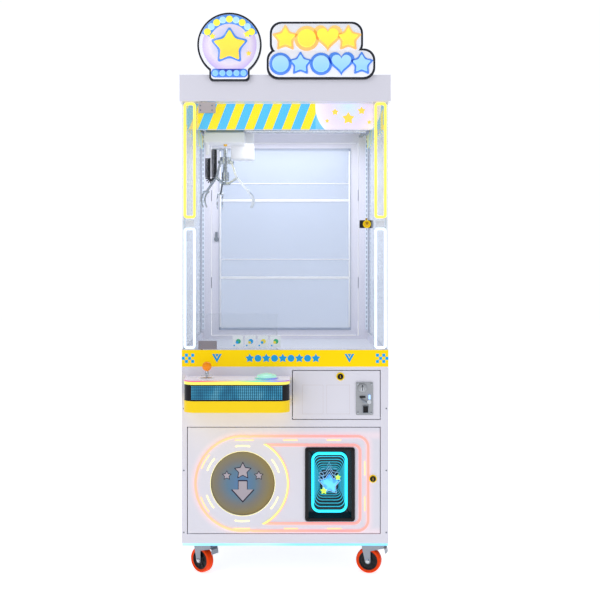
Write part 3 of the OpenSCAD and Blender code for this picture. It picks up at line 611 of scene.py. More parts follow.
def door_paint(name):
    """The lower door's paint, with the tracks' light spilt on it."""
    finish = Finish(name)
    tree = finish.tree
    finish.skin("Powder Coat", tuple(bpy.context.scene.crane_cabinet.paint), 0.38, 900.0, 0.00025, 0.25)
    x, _, z = axes(tree, finish.place)
    reach = TRACK_REACH / 1000
    ring = maths(tree, "ABSOLUTE", maths(tree, "SUBTRACT", radius_from(tree, x, z, HOLE), reach))
    left = maths(tree, "LESS_THAN", x, HOLE[0] / 1000)
    side = maths(tree, "ABSOLUTE", maths(tree, "SUBTRACT", z, HOLE[1] / 1000))
    flat = maths(tree, "ABSOLUTE", maths(tree, "SUBTRACT", side, reach))
    end = maths(tree, "ABSOLUTE", maths(tree, "SUBTRACT", x, TRACK_END / 1000))
    past = maths(tree, "MAXIMUM", maths(tree, "SUBTRACT", side, reach), 0.0)
    box = maths(tree, "MINIMUM", flat, maths(tree, "ADD", end, past))
    right = maths(tree, "MULTIPLY", maths(tree, "SUBTRACT", 1.0, left), box)
    near = maths(tree, "ADD", maths(tree, "MULTIPLY", left, ring), right)
    spill = maths(tree, "SUBTRACT", 1.0, smooth_step(tree, near, 0.002, 0.030), clamp=True)
    tone = ramp(
        tree,
        maths(tree, "MULTIPLY_ADD", x, 1.4, 0.5),
        [(0.0, "#FF8A78"), (0.35, "#FF9A5A"), (0.62, "#FF7F9A"), (1.0, "#FF9A86")],
    )
    finish.glow(blend_colours(tree, maths(tree, "POWER", spill, 1.6), (0, 0, 0), tone), 0.14)
    return finish.material


def track_light(name):
    """The lit tracks: orange and pink outside, yellow round the flap."""
    finish = Finish(name)
    tree = finish.tree
    x, _, z = axes(tree, finish.place)
    outer = ramp(
        tree,
        maths(tree, "MULTIPLY_ADD", x, 1.35, 0.52),
        [(0.0, "#FFA182"), (0.22, "#FFBC84"), (0.5, "#FF9C8C"), (0.8, "#FF8C8C"), (1.0, "#FF9A86")],
    )
    inner_ring = between(tree, radius_from(tree, x, z, HOLE), 0.160, 0.178, 0.001)
    bite = maths(tree, "MULTIPLY", inner_ring, maths(tree, "GREATER_THAN", x, -0.09))
    colour = blend_colours(tree, bite, outer, linear("#E9E07C"))
    finish.set("Base Color", colour)
    finish.glow(colour, bpy.context.scene.crane_lights.track)
    finish.set("Roughness", 0.3)
    return finish.material


def flap_film(name):
    """A flap that runs from blue in the middle to olive gold at the rim, more so to the right, with a fine
    dot screen.
    """
    finish = Finish(name)
    tree = finish.tree
    x, _, z = axes(tree, finish.place)
    radius = radius_from(tree, x, z, HOLE)
    grain = noise(tree, finish.place, 420.0, 2)
    shaken = maths(tree, "MULTIPLY_ADD", maths(tree, "SUBTRACT", grain, 0.5), 0.018, radius)
    side = maths(tree, "MULTIPLY_ADD", maths(tree, "SUBTRACT", x, HOLE[0] / 1000), 0.12, shaken)
    tone = ramp(
        tree,
        maths(tree, "DIVIDE", side, HOLE_RADIUS / 1000),
        [(0.0, "#5B83B4"), (0.42, "#64849C"), (0.7, "#827F78"), (0.9, "#8E8463"), (1.0, "#948458")],
    )
    finish.skin("Moulded Skin", (0.5, 0.5, 0.5), 0.36, 700.0, 0.0002, 0.2)
    finish.set("Base Color", tone)
    finish.set("Specular IOR Level", 0.2)
    return finish.material


def badge_sky(name):
    """A pale round sky, lavender at the rim, with soft coloured light."""
    finish = Finish(name)
    tree = finish.tree
    x, _, z = axes(tree, finish.place)
    drift = noise(tree, finish.place, 9.0, 2)
    turned = maths(tree, "MULTIPLY_ADD", drift, 0.03, radius_from(tree, x, z, BADGE))
    tone = ramp(
        tree,
        maths(tree, "DIVIDE", turned, 0.13),
        [(0.0, "#BFE6FF"), (0.45, "#D8DCFF"), (0.7, "#F3E9F6"), (0.88, "#D9C6F7"), (1.0, "#B7B4F5")],
    )
    finish.set("Base Color", tone)
    finish.set("Roughness", maths(tree, "MULTIPLY_ADD", drift, 0.1, 0.22))
    finish.set("Coat Weight", 0.5)
    finish.glow(tone, 0.12)
    return finish.material


def sign_face(name, top, bottom, z_low, z_high, glow):
    """A glossy puffed sign face that shades from one colour to another."""
    finish = Finish(name)
    tree = finish.tree
    z = axes(tree, finish.place)[2]
    drift = noise(tree, finish.place, 60.0, 2)
    rise = maths(tree, "DIVIDE", maths(tree, "SUBTRACT", z, z_low), z_high - z_low)
    tone = ramp(tree, maths(tree, "MULTIPLY_ADD", drift, 0.06, rise), [(0.1, bottom), (0.9, top)])
    finish.set("Base Color", tone)
    finish.set("Roughness", maths(tree, "MULTIPLY_ADD", drift, 0.08, 0.16))
    finish.set("Coat Weight", 0.7)
    finish.set("Coat Roughness", 0.08)
    finish.glow(tone, glow)
    return finish.material


def strip_leds(name):
    """A pale strip with a narrow grey dash over each of its lamps."""
    finish = Finish(name)
    tree = finish.tree
    x, _, z = axes(tree, finish.place)
    dashes = finish.effect("Dash Row", Along=z, Pitch=0.0216, Share=0.6)["Mask"]
    middle = between(tree, maths(tree, "ABSOLUTE", x), 0.3814, 0.3852, 0.0003)
    dashes = maths(tree, "MULTIPLY", dashes, middle)
    colour = blend_colours(tree, dashes, linear("#DCE4F0"), linear("#8D99AA"))
    finish.set("Base Color", colour)
    finish.glow(colour, 0.12)
    finish.set("Roughness", 0.4)
    return finish.material


def cord_rubber(name):
    """Matt black cord with a faint sheen and dust in its skin."""
    finish = Finish(name).skin("Moulded Skin", (0.008, 0.009, 0.012), 0.5, 1500.0, 0.0001)
    finish.set("Specular IOR Level", 0.16)
    finish.set("Sheen Weight", 0.04)
    return finish.material


def braid(name):
    """A pale braided cord, with its crossing strands as a fine bump and painted shade in the dips between
    them.
    """
    finish = Finish(name)
    tree = finish.tree
    x, y, z = axes(tree, finish.place)
    out_x = maths(tree, "SUBTRACT", x, HOIST[0] / 1000)
    out_y = maths(tree, "SUBTRACT", y, HOIST[1] / 1000)
    strands = maths(tree, "MULTIPLY", maths(tree, "ARCTAN2", out_y, out_x), 4.0)
    one, two = (
        maths(tree, "SINE", maths(tree, "MULTIPLY_ADD", z, twist, strands)) for twist in (2600.0, -2600.0)
    )
    weave = maths(tree, "MULTIPLY", one, two)
    finish.bump(weave, 0.0003)
    # Painted shade: the colour darkens in the dips of the weave, between the strands.
    shade = maths(tree, "MULTIPLY_ADD", weave, 0.12, 0.5)
    finish.set("Base Color", ramp(tree, shade, [(0.3, "#B8BCC2"), (0.7, "#EEF0F2")]))
    finish.set("Roughness", 0.7)
    return finish.material


def tyre_rubber(name):
    """Polyurethane tyre, with grey-brown scuffs on its tread that grow stronger towards the floor."""
    finish = Finish(name)
    tree = finish.tree
    colour = tuple(bpy.context.scene.crane_casters.tyre)
    finish.skin("Moulded Skin", colour, 0.34, 500.0, 0.0003, 0.3)
    z = axes(tree, finish.place)[2]
    scuff = smooth_step(tree, noise(tree, stretch(tree, finish.place, (30, 30, 12)), 6.0, 5), 0.55, 0.72)
    # The scuffs grow stronger towards the bottom of the wheel, by the floor.
    ground = maths(tree, "SUBTRACT", 1.0, smooth_step(tree, z, 0.004, 0.03), clamp=True)
    mask = maths(tree, "MULTIPLY", scuff, maths(tree, "MULTIPLY_ADD", ground, 0.5, 0.12))
    finish.set("Base Color", blend_colours(tree, mask, colour, linear("#8A7A70")))
    finish.set("Specular IOR Level", 0.12)
    return finish.material


def coloured(maker, code, *values, **options):
    """A maker that waits for its finish's name, with a #RRGGBB code and its other values."""
    return lambda name: maker(name, linear(code), *values, **options)


def by_setting(maker, group, item, *values, **options):
    """A maker that waits for its finish's name and takes its colour from the scene's settings."""
    return lambda name: maker(
        name, tuple(getattr(getattr(bpy.context.scene, group), item)), *values, **options
    )


def shaded(*values, **options):
    """A sign face's maker that waits for its finish's name."""
    return lambda name: sign_face(name, *values, **options)


FINISHES = {
    "cabinet paint": by_setting(painted, "crane_cabinet", "paint"),
    "printed blue": by_setting(moulded, "crane_cabinet", "blue", 0.35),
    # The yellow plastic's faint glow is painted light; the tray and the lock collars are no lamps.
    "yellow plastic": by_setting(moulded, "crane_cabinet", "yellow", 0.34, coat=0.06, glow=0.06),
    "upper neon": by_setting(lit, "crane_lights", "neon_upper", 1.0),
    "lower neon": by_setting(lit, "crane_lights", "neon_lower", 0.85),
    "base glow": by_setting(lit, "crane_lights", "base", 0.95, linear("#74BDF0"), 2.2),
    "lit door paint": door_paint,
    "band film": band_film,
    "canopy film": canopy_film,
    "dot display": dot_display,
    "console acrylic": console_acrylic,
    "track light": track_light,
    "flap film": flap_film,
    "badge sky": badge_sky,
    "strip lamps": strip_leds,
    "cord rubber": cord_rubber,
    "pale braid": braid,
    "tyre polyurethane": tyre_rubber,
    "deck laminate": coloured(painted, "#EEF0F6", roughness=0.3),
    "clamp plate": coloured(painted, "#BDB4B4", roughness=0.42),
    "lower clamp plate": coloured(painted, "#8E888E", roughness=0.4),
    "zinc plate": coloured(metal, "#9BA2AB", roughness=0.36, grain=700.0),
    "cast zinc": coloured(metal, "#B2B5B9", roughness=0.46, grain=300.0, depth=0.0004),
    "bright chrome": coloured(metal, "#CDD2D8", roughness=0.14, grain=1400.0),
    "claw chrome": coloured(metal, "#D4DBE1", roughness=0.13, grain=1200.0),
    "claw steel": coloured(metal, "#BEC7CE", roughness=0.2, grain=1000.0),
    "rod steel": coloured(metal, "#D5D9E0", roughness=0.2, grain=1200.0),
    "brass plug": coloured(metal, "#E9B93A", roughness=0.28, grain=900.0),
    "door glass": coloured(clear, "#E4EEFA", body=0.012, edge=0.22, roughness=0.03),
    "glass edge": coloured(clear, "#B4D9EA", body=0.5, edge=0.3, roughness=0.08),
    "case glass": coloured(clear, "#DCE9F8", body=0.12, edge=0.5, roughness=0.04),
    # The rear pane's glow is painted light, standing in for the back light shining through it.
    "rear pane": coloured(clear, "#B4C1D6", body=0.52, edge=0.3, roughness=0.16, glow=0.22),
    "clear acrylic": coloured(clear, "#E6F1FC", body=0.07, edge=0.45, roughness=0.05),
    "column acrylic": coloured(clear, "#E2ECF8", body=0.1, edge=0.3, roughness=0.08),
    "cyan tube": coloured(lit, "#25D6EE", strength=1.5),
    "dash lamps": coloured(lit, "#FFF2A6", strength=1.0),
    "rim lamp": coloured(lit, "#EFE6A8", strength=0.7),
    "peach lamps": coloured(lit, "#FFC38C", strength=0.95),
    "blue lamp": coloured(lit, "#8FB4FF", strength=1.6),
    "lime lamp": coloured(lit, "#B6F04A", strength=1.0),
    "azure lamp": coloured(lit, "#3D8CFF", strength=1.0, second=linear("#54B4FF"), scale=40.0),
    "black plastic": lambda name: moulded(name, (0.006, 0.006, 0.008), 0.3),
    "matt black": lambda name: moulded(name, (0.012, 0.012, 0.014), 0.5),
    "hub nylon": lambda name: moulded(name, (0.012, 0.013, 0.016), 0.42, 400.0),
    "white shell": coloured(moulded, "#F2F3F6", roughness=0.36),
    "sign edge": coloured(moulded, "#23262E", roughness=0.3, coat=0.3),
    "sign white": coloured(moulded, "#F6F8FF", roughness=0.25, coat=0.4, glow=0.1),
    "sun face": shaded("#FFF04A", "#FFD44A", 2.02, 2.15, glow=0.4),
    "sun rim": shaded("#FFD27A", "#FFB45E", 2.02, 2.15, glow=0.3),
    "sky face": shaded("#B4E2FF", "#8CCBFF", 1.94, 2.05, glow=0.3),
    "sky rim": shaded("#5A9CF8", "#4A86F0", 1.93, 2.15, glow=0.15),
    # The orange ball's faint glow is painted light; the ball is no lamp.
    "orange ball": coloured(moulded, "#FF9408", roughness=0.22, grain=300.0, coat=0.12, glow=0.1),
    "mint lens": coloured(moulded, "#A9EFD9", roughness=0.14, grain=300.0, coat=0.6, glow=0.35),
    # The dark mirror's glow is painted light: the reflection of the light box's lit loops in it.
    "dark mirror": coloured(moulded, "#0F2A33", roughness=0.12, coat=0.1, glow=0.3),
    "board green": coloured(moulded, "#1E6A45", roughness=0.45),
    "print grey": coloured(moulded, "#D9D2D6", roughness=0.4),
    "flap grey": coloured(moulded, "#B4ACB6", roughness=0.4),
    "print navy": coloured(moulded, "#2E2A3C", roughness=0.4),
    "leaf print": coloured(moulded, "#2FB27A", roughness=0.4),
    "lime print": coloured(moulded, "#F2E04A", roughness=0.4),
    "card print": coloured(moulded, "#E6EBEE", roughness=0.4),
}
# Dimming copies of the light box's tube and star, which stand in for their reflections in the mirror:
# painted reflections.
for level in range(1, 9):
    FINISHES[f"echo lamp {level}"] = coloured(lit, "#2FB4CC", strength=0.8 * 0.8 ** level)
    FINISHES[f"pale echo {level}"] = coloured(lit, "#A8D4F4", strength=0.9 * 0.68 ** level)


def finish(name):
    return bpy.data.materials.get(name) or FINISHES[name](name)


# ---------------------------------------------------------------- shaping helpers


def dress(node, *names, pick=None):
    """Gives a CAD node its finishes; pick takes a face's centre in millimetres and its normal."""
    obj = frame["nodes"][node]
    obj.data.materials.clear()
    for name in names:
        obj.data.materials.append(finish(name))
    for face in obj.data.polygons:
        face.material_index = pick(face.center * 1000, face.normal) if pick else 0


def front_of(node):
    """Y of a node's front face in millimetres."""
    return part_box(node)[0].y * 1000


def add_piece(name, mesh, body, names, sharp_from=None, stands_for=()):
    """Puts a mesh in the scene with its finishes, as a piece that rides on a body."""
    for item in names:
        mesh.materials.append(finish(item))
    for face in mesh.polygons:
        face.use_smooth = True
    if sharp_from:
        mesh.set_sharp_from_angle(angle=math.radians(sharp_from))
    obj = bpy.data.objects.new(name, mesh)
    bpy.context.scene.collection.objects.link(obj)
    if stands_for:
        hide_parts(*stands_for)
    if body:
        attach(obj, body)
    return obj


def make(name, bm, body, *names, stands_for=(), slot=None):
    """Ends a bmesh in millimetres as a piece in metres that rides on a body."""
    bmesh.ops.remove_doubles(bm, verts=bm.verts, dist=0.0005)
    bmesh.ops.recalc_face_normals(bm, faces=bm.faces)
    bmesh.ops.scale(bm, vec=(0.001, 0.001, 0.001), verts=bm.verts)
    mesh = bpy.data.meshes.new(name)
    bm.to_mesh(mesh)
    bm.free()
    add_piece(name, mesh, body, names, 35, stands_for)


def soften(bm, edges, offset, segments=3):
    bmesh.ops.bevel(
        bm, geom=list(edges), offset=offset, offset_type="OFFSET", segments=segments,
        profile=0.5, affect="EDGES", clamp_overlap=True, material=-1,
    )


def to_slot(bm, old, slot):
    """Puts every face that isn't among the old ones into a material slot."""
    for face in bm.faces:
        if face not in old:
            face.material_index = slot


def shift(bm, faces, vec, keep=False):
    """Extrudes faces by vec and gives what has grown; the faces themselves go unless kept."""
    grown = bmesh.ops.extrude_face_region(bm, geom=faces)["geom"]
    bmesh.ops.translate(bm, vec=vec, verts=[v for v in grown if isinstance(v, bmesh.types.BMVert)])
    if not keep:
        bmesh.ops.delete(bm, geom=[f for f in faces if f.is_valid], context="FACES_ONLY")
    return grown


def outline(bm, points, y, corner=0.0, segments=5):
    """A flat face in X and Z at y, with its corners rounded."""
    old = set(bm.faces)
    verts = [bm.verts.new((x, y, z)) for x, z in points]
    bm.faces.new(verts)
    if corner:
        bmesh.ops.bevel(
            bm, geom=verts, offset=corner, offset_type="OFFSET", segments=segments,
            profile=0.5, affect="VERTICES", clamp_overlap=True, material=-1,
        )
    return max((f for f in bm.faces if f not in old), key=lambda f: f.calc_area())


def plate(bm, points, y, depth, corner=0.0, rounding=0.0, segments=3, slot=0):
    """A plate on the plane y that stands forward by depth, with a rounded front edge."""
    face = outline(bm, points, y, corner)
    old = set(bm.faces) - {face}
    grown = shift(bm, [face], (0, -depth, 0), keep=True)
    front = next(f for f in grown if isinstance(f, bmesh.types.BMFace))
    if rounding:
        soften(bm, front.edges, rounding, segments)
    to_slot(bm, old, slot)


def rectangle(x, z):
    return [(x[0], z[0]), (x[1], z[0]), (x[1], z[1]), (x[0], z[1])]


def polar(cx, cz, r, angle):
    """A point in X and Z at a radius and an angle in radians from a centre."""
    return cx + r * math.cos(angle), cz + r * math.sin(angle)


def disc_points(cx, cz, r, count=48):
    return [polar(cx, cz, r, math.tau * i / count) for i in range(count)]


def star_points(cx, cz, r, inner=0.52, tips=5):
    return [
        polar(cx, cz, r if i % 2 == 0 else r * inner, math.radians(90 + 180 * i / tips))
        for i in range(2 * tips)
    ]


def heart_points(cx, cz, r, count=32):
    points = []
    for i in range(count):
        t = math.tau * i / count
        x = 16 * math.sin(t) ** 3
        z = 13 * math.cos(t) - 5 * math.cos(2 * t) - 2 * math.cos(3 * t) - math.cos(4 * t)
        points.append((cx - x * r / 16, cz + (z + 2.5) * r / 16))
    return points


def arc_bar(cx, cz, radius, angles, width, count=10):
    """The outline of a curved bar between two angles in degrees."""
    low, high = (math.radians(a) for a in angles)
    steps = [low + (high - low) * i / count for i in range(count + 1)]
    outer = [polar(cx, cz, radius + width / 2, a) for a in steps]
    inner = [polar(cx, cz, radius - width / 2, a) for a in steps]
    return outer + inner[::-1]


def spun(bm, profile, axis_point, axis, steps=48, slot=0):
    """Spins (radius, along) pairs round an axis through a point."""
    axis = Vector(axis).normalized()
    side = axis.orthogonal().normalized()
    base = Vector(axis_point)
    old = set(bm.faces)
    verts = [bm.verts.new(base + side * r + axis * a) for r, a in profile]
    edges = [bm.edges.new(pair) for pair in zip(verts, verts[1:])]
    bmesh.ops.spin(
        bm, geom=verts + edges, cent=base, axis=axis, angle=math.tau, steps=steps,
        use_merge=True, use_duplicate=False,
    )
    to_slot(bm, old, slot)


def block(bm, x, y, z, rounding=0.0, segments=3, slot=0):
    """A box between its corners with rounded edges."""
    old = set(bm.faces)
    middle = Vector(((x[0] + x[1]) / 2, (y[0] + y[1]) / 2, (z[0] + z[1]) / 2))
    size = (x[1] - x[0], y[1] - y[0], z[1] - z[0])
    matrix = Matrix.Translation(middle) @ Matrix.Diagonal((*size, 1))
    made = bmesh.ops.create_cube(bm, size=1.0, matrix=matrix)
    if rounding:
        soften(bm, {e for v in made["verts"] for e in v.link_edges}, rounding, segments)
    to_slot(bm, old, slot)


def tube(name, points, radius, body, *names, closed=False, sides=3):
    """A round tube along points in millimetres."""
    curve = bpy.data.curves.new(name, "CURVE")
    curve.dimensions = "3D"
    curve.bevel_depth = radius / 1000
    curve.bevel_resolution = sides
    curve.use_fill_caps = not closed
    spline = curve.splines.new("POLY")
    spline.points.add(len(points) - 1)
    for point, spot in zip(spline.points, points):
        point.co = (*(c / 1000 for c in spot), 1)
    spline.use_cyclic_u = closed
    holder = bpy.data.objects.new(name + "_line", curve)
    bpy.context.scene.collection.objects.link(holder)
    bpy.context.view_layer.update()
    mesh = bpy.data.meshes.new_from_object(holder.evaluated_get(bpy.context.evaluated_depsgraph_get()))
    bpy.data.objects.remove(holder)
    bpy.data.curves.remove(curve)
    mesh.name = name
    mesh.materials.clear()
    return add_piece(name, mesh, body, names)


def loop_points(x, z, y, r, steps=8):
    """A rounded rectangle's line in X and Z at y."""
    points = []
    for cx, cz, start in ((x[1] - r, z[1] - r, 0), (x[0] + r, z[1] - r, 90),
                          (x[0] + r, z[0] + r, 180), (x[1] - r, z[0] + r, 270)):
        for i in range(steps + 1):
            px, pz = polar(cx, cz, r, math.radians(start + 90 * i / steps))
            points.append((px, y, pz))
    return points


def screw(bm, x, z, y, r):
    """A low domed screw head with a cross recess, on the plane y."""
    spun(bm, [(0.0, -0.45 * r), (0.55 * r, -0.42 * r), (0.85 * r, -0.28 * r), (r, 0.0), (0.0, 0.0)],
         (x, y, z), (0, 1, 0), 16)
    for wide, tall in ((0.55, 0.1), (0.1, 0.55)):
        block(bm, (x - wide * r, x + wide * r), (y - 0.52 * r, y - 0.3 * r),
              (z - tall * r, z + tall * r), slot=1)


def lock_trim(pieces, bodies, centre, ring_y, ring, plug, slit, finishes):
    """A lock's yellow collar on its door, and its plug and key slit, which turn with the lock."""
    x, z = centre
    half_wide, half_tall, out, back = slit
    lock_y = front_of(bodies[1])
    bm = bmesh.new()
    spun(bm, ring, (x, ring_y, z), (0, 1, 0), 40)
    make(pieces[0], bm, bodies[0], "yellow plastic")
    bm = bmesh.new()
    spun(bm, plug, (x, lock_y, z), (0, 1, 0), 32)
    block(bm, (x - half_wide, x + half_wide), (lock_y - out, lock_y - back),
          (z - half_tall, z + half_tall), slot=1)
    make(pieces[1], bm, bodies[1], *finishes)


# ---------------------------------------------------------------- operators


class CraneStage(bpy.types.Operator):
    """Sets the camera, the pale floor and the soft studio lights"""

    bl_idname = "crane.stage"
    bl_label = "Stage"

    def execute(self, context):
        scene = context.scene
        settings = scene.crane_stage
        camera = bpy.data.objects.new("eye", bpy.data.cameras.new("eye"))
        scene.collection.objects.link(camera)
        camera.location = (-0.005, -4.28, 1.273)
        camera.rotation_euler = (math.radians(90), 0, 0)
        camera.data.lens = 60.9
        camera.data.sensor_width = 36
        camera.data.shift_x = 0.027
        camera.data.shift_y = -0.083
        camera.data.dof.use_dof = False
        scene.camera = camera
        scene.view_settings.view_transform = "Standard"

        world = bpy.data.worlds.new("pale surround")
        scene.world = world
        world.use_nodes = True
        tree = world.node_tree
        background = tree.nodes["Background"]
        background.inputs["Color"].default_value = (*linear("#F6F8FF"), 1)
        seen = tree.nodes.new("ShaderNodeLightPath").outputs["Is Camera Ray"]
        strength = maths(tree, "MULTIPLY_ADD", seen, 1.1 - settings.surround, settings.surround)
        feed(tree, strength, background.inputs["Strength"])

        bm = bmesh.new()
        bmesh.ops.create_grid(bm, x_segments=8, y_segments=8, size=14000)
        bmesh.ops.scale(bm, vec=(0.001, 0.001, 0.001), verts=bm.verts)
        mesh = bpy.data.meshes.new("studio_floor")
        bm.to_mesh(mesh)
        bm.free()
        ground = Finish("studio floor")
        shade = noise(ground.tree, ground.place, 3.0, 2)
        ground.set("Base Color", ramp(ground.tree, shade, [(0.0, "#F4F5F8"), (1.0, "#FAFAFC")]))
        ground.set("Roughness", 0.7)
        ground.set("Specular IOR Level", 0.2)
        ground.glow((1.0, 1.0, 1.0), 0.7)
        mesh.materials.append(ground.material)
        floor = bpy.data.objects.new("studio_floor", mesh)
        scene.collection.objects.link(floor)

        for name, spot, aim, size, power in (
            ("key_light", (-2.6, -3.4, 2.9), (0, 0, 1.1), 2.6, settings.key),
            ("fill_light", (3.2, -2.9, 1.7), (0, 0, 1.0), 2.4, settings.key * 0.38),
            ("top_light", (0.3, 0.4, 4.1), (0, 0, 1.0), 2.4, settings.key * 0.5),
            ("back_light", (0.6, 3.6, 2.3), (0, 0.2, 1.2), 2.6, settings.key * 0.55),
            ("case_light", (0.0, 0.12, 1.735), (0, 0.2, 1.0), 0.6, settings.key * 0.09),
        ):
            lamp = bpy.data.lights.new(name, "AREA")
            lamp.energy = power
            lamp.size = size
            lamp.color = linear("#FBFBFF")
            holder = bpy.data.objects.new(name, lamp)
            holder.location = spot
            holder.visible_camera = False
            holder.rotation_euler = (Vector(aim) - Vector(spot)).to_track_quat("-Z", "Y").to_euler()
            scene.collection.objects.link(holder)
        return {"FINISHED"}


class CraneCords(bpy.types.Operator):
    """Makes the curly cord and the hoist cord"""

    bl_idname = "crane.cords"
    bl_label = "Cords"

    STEPS = 14  # points in one turn
    EASE = 6  # millimetres over which the turns change into the bend
    TIGHTER = 0.16  # share of its radius that a turn loses in the bend
    LOOSER = 0.4  # share of its pitch that a turn gains in the bend

    def curl_line(self, settings):
        """Points of the curly cord's wire, from the sleeve, down and up to the claw's lug."""
        radius = settings.curl_radius * 1000
        pitch = settings.curl_pitch * 1000
        low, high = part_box("curly_cord")
        x0, x1 = low.x * 1000 + 10, high.x * 1000 - 10
        y = (low.y + high.y) * 500
        bend = (x1 - x0) / 2
        turn_z = low.z * 1000 + 10 + bend
        top0, top1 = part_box("trolley_cover")[0].z * 1000 - 0.5, high.z * 1000 - 0.5
        first = top0 - turn_z
        last = first + math.pi * bend
        whole = last + (top1 - turn_z)
        points = []
        along, angle = 0.0, 0.0
        while along <= whole:
            if along < first:
                centre, out = Vector((x0, y, top0 - along)), Vector((1, 0, 0))
            elif along < last:
                a = (along - first) / bend
                centre = Vector((x0 + bend - bend * math.cos(a), y, turn_z - bend * math.sin(a)))
                out = Vector((math.cos(a), 0, math.sin(a)))
            else:
                centre, out = Vector((x1, y, turn_z + along - last)), Vector((-1, 0, 0))
            entered = min(max((along - first) / self.EASE + 1, 0), 1)
            left = min(max((last - along) / self.EASE + 1, 0), 1)
            turn = radius * (1 - self.TIGHTER * entered * left)
            points.append(centre + out * turn * math.cos(angle) + Vector((0, turn * math.sin(angle), 0)))
            along += pitch / self.STEPS * (1 + self.LOOSER * entered * left)
            angle += math.tau / self.STEPS
        return points

    def execute(self, context):
        settings = context.scene.crane_cords
        points = self.curl_line(settings)
        curl = tube("curly_cord_turns", points, settings.curl_wire * 500, None, "cord rubber", sides=2)
        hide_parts("curly_cord")
        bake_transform(curl)

        low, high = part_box("hoist_cord")
        x, y = (low.x + high.x) / 2, (low.y + high.y) / 2
        line = [Vector((x, y, high.z + (low.z - high.z) * i / 16)) for i in range(17)]
        cord = tube("hoist_cord_braid", [p * 1000 for p in line], 1.5, None, "pale braid", sides=4)
        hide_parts("hoist_cord")
        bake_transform(cord)
        return {"FINISHED"}


class CraneCabinet(bpy.types.Operator):
    """Finishes the cabinet, the header and the deck, and adds the yellow band"""

    bl_idname = "crane.cabinet"
    bl_label = "Cabinet"

    def execute(self, context):
        settings = context.scene.crane_cabinet
        for node in ("side_panels", "rear_panel", "front_panel", "header_box"):
            dress(node, "cabinet paint")
        dress("base_frame", "zinc plate")
        dress("deck", "deck laminate")
        # The chute is clear above the deck, and the circuit board is the highest of the electronics.
        dress("prize_chute", "zinc plate", "clear acrylic", pick=lambda c, n: 1 if c.z > 856.2 else 0)
        dress("electronics", "matt black", "board green", pick=lambda c, n: 1 if c.z > 390 else 0)
        dress("coin_box", "zinc plate")

        low = BAND_TOP - settings.band_height * 1000
        bm = bmesh.new()
        plate(bm, rectangle((-HALF_W, HALF_W), (low, BAND_TOP)), FRONT, 0.7, rounding=0.3, segments=1)
        make("yellow_band", bm, "cabinet", "band film")

        middle = BAND_TOP - settings.band_height * 500
        bm = bmesh.new()
        wings = [(-19, 17), (-10, 17), (0, -1), (10, 17), (19, 17), (0, -17)]
        wedge = [(-7.5, 17), (7.5, 17), (0, 4)]
        for x in (-264, 249):
            for shape in (wings, wedge):
                plate(bm, [(x + px, middle + pz) for px, pz in shape], FRONT - 0.65, 0.35)
        for i in range(9):
            x = -137 + 32 * i
            points = disc_points(x, middle, 13.5, 32) if i % 2 else star_points(x, middle, 18, 0.55)
            plate(bm, points, FRONT - 0.65, 0.35)
        make("band_marks", bm, "cabinet", "printed blue")

        bm = bmesh.new()
        for x in (-392, 392):
            for z in (180, 420, 660):
                screw(bm, x, z, FRONT, 3.2)
        make("front_panel_screws", bm, "cabinet", "zinc plate", "matt black")

        bm = bmesh.new()
        for i in range(9):
            z = 640 + 17 * i
            block(bm, (-140, 140), (BACK - 0.5, BACK + 2.6), (z, z + 5), 1.2, 2)
        make("rear_louvres", bm, "cabinet", "cabinet paint")

        bm = bmesh.new()
        for x in (-393.764, 393.764):
            spun(bm, [(0.0, -1.8), (5.2, -1.8), (6.2, -1.0), (6.4, 0.0), (0.0, 0.0)],
                 (x, 60, 1951), (0, 0, -1), 20)
        make("header_bungs", bm, "cabinet", "zinc plate")
        return {"FINISHED"}


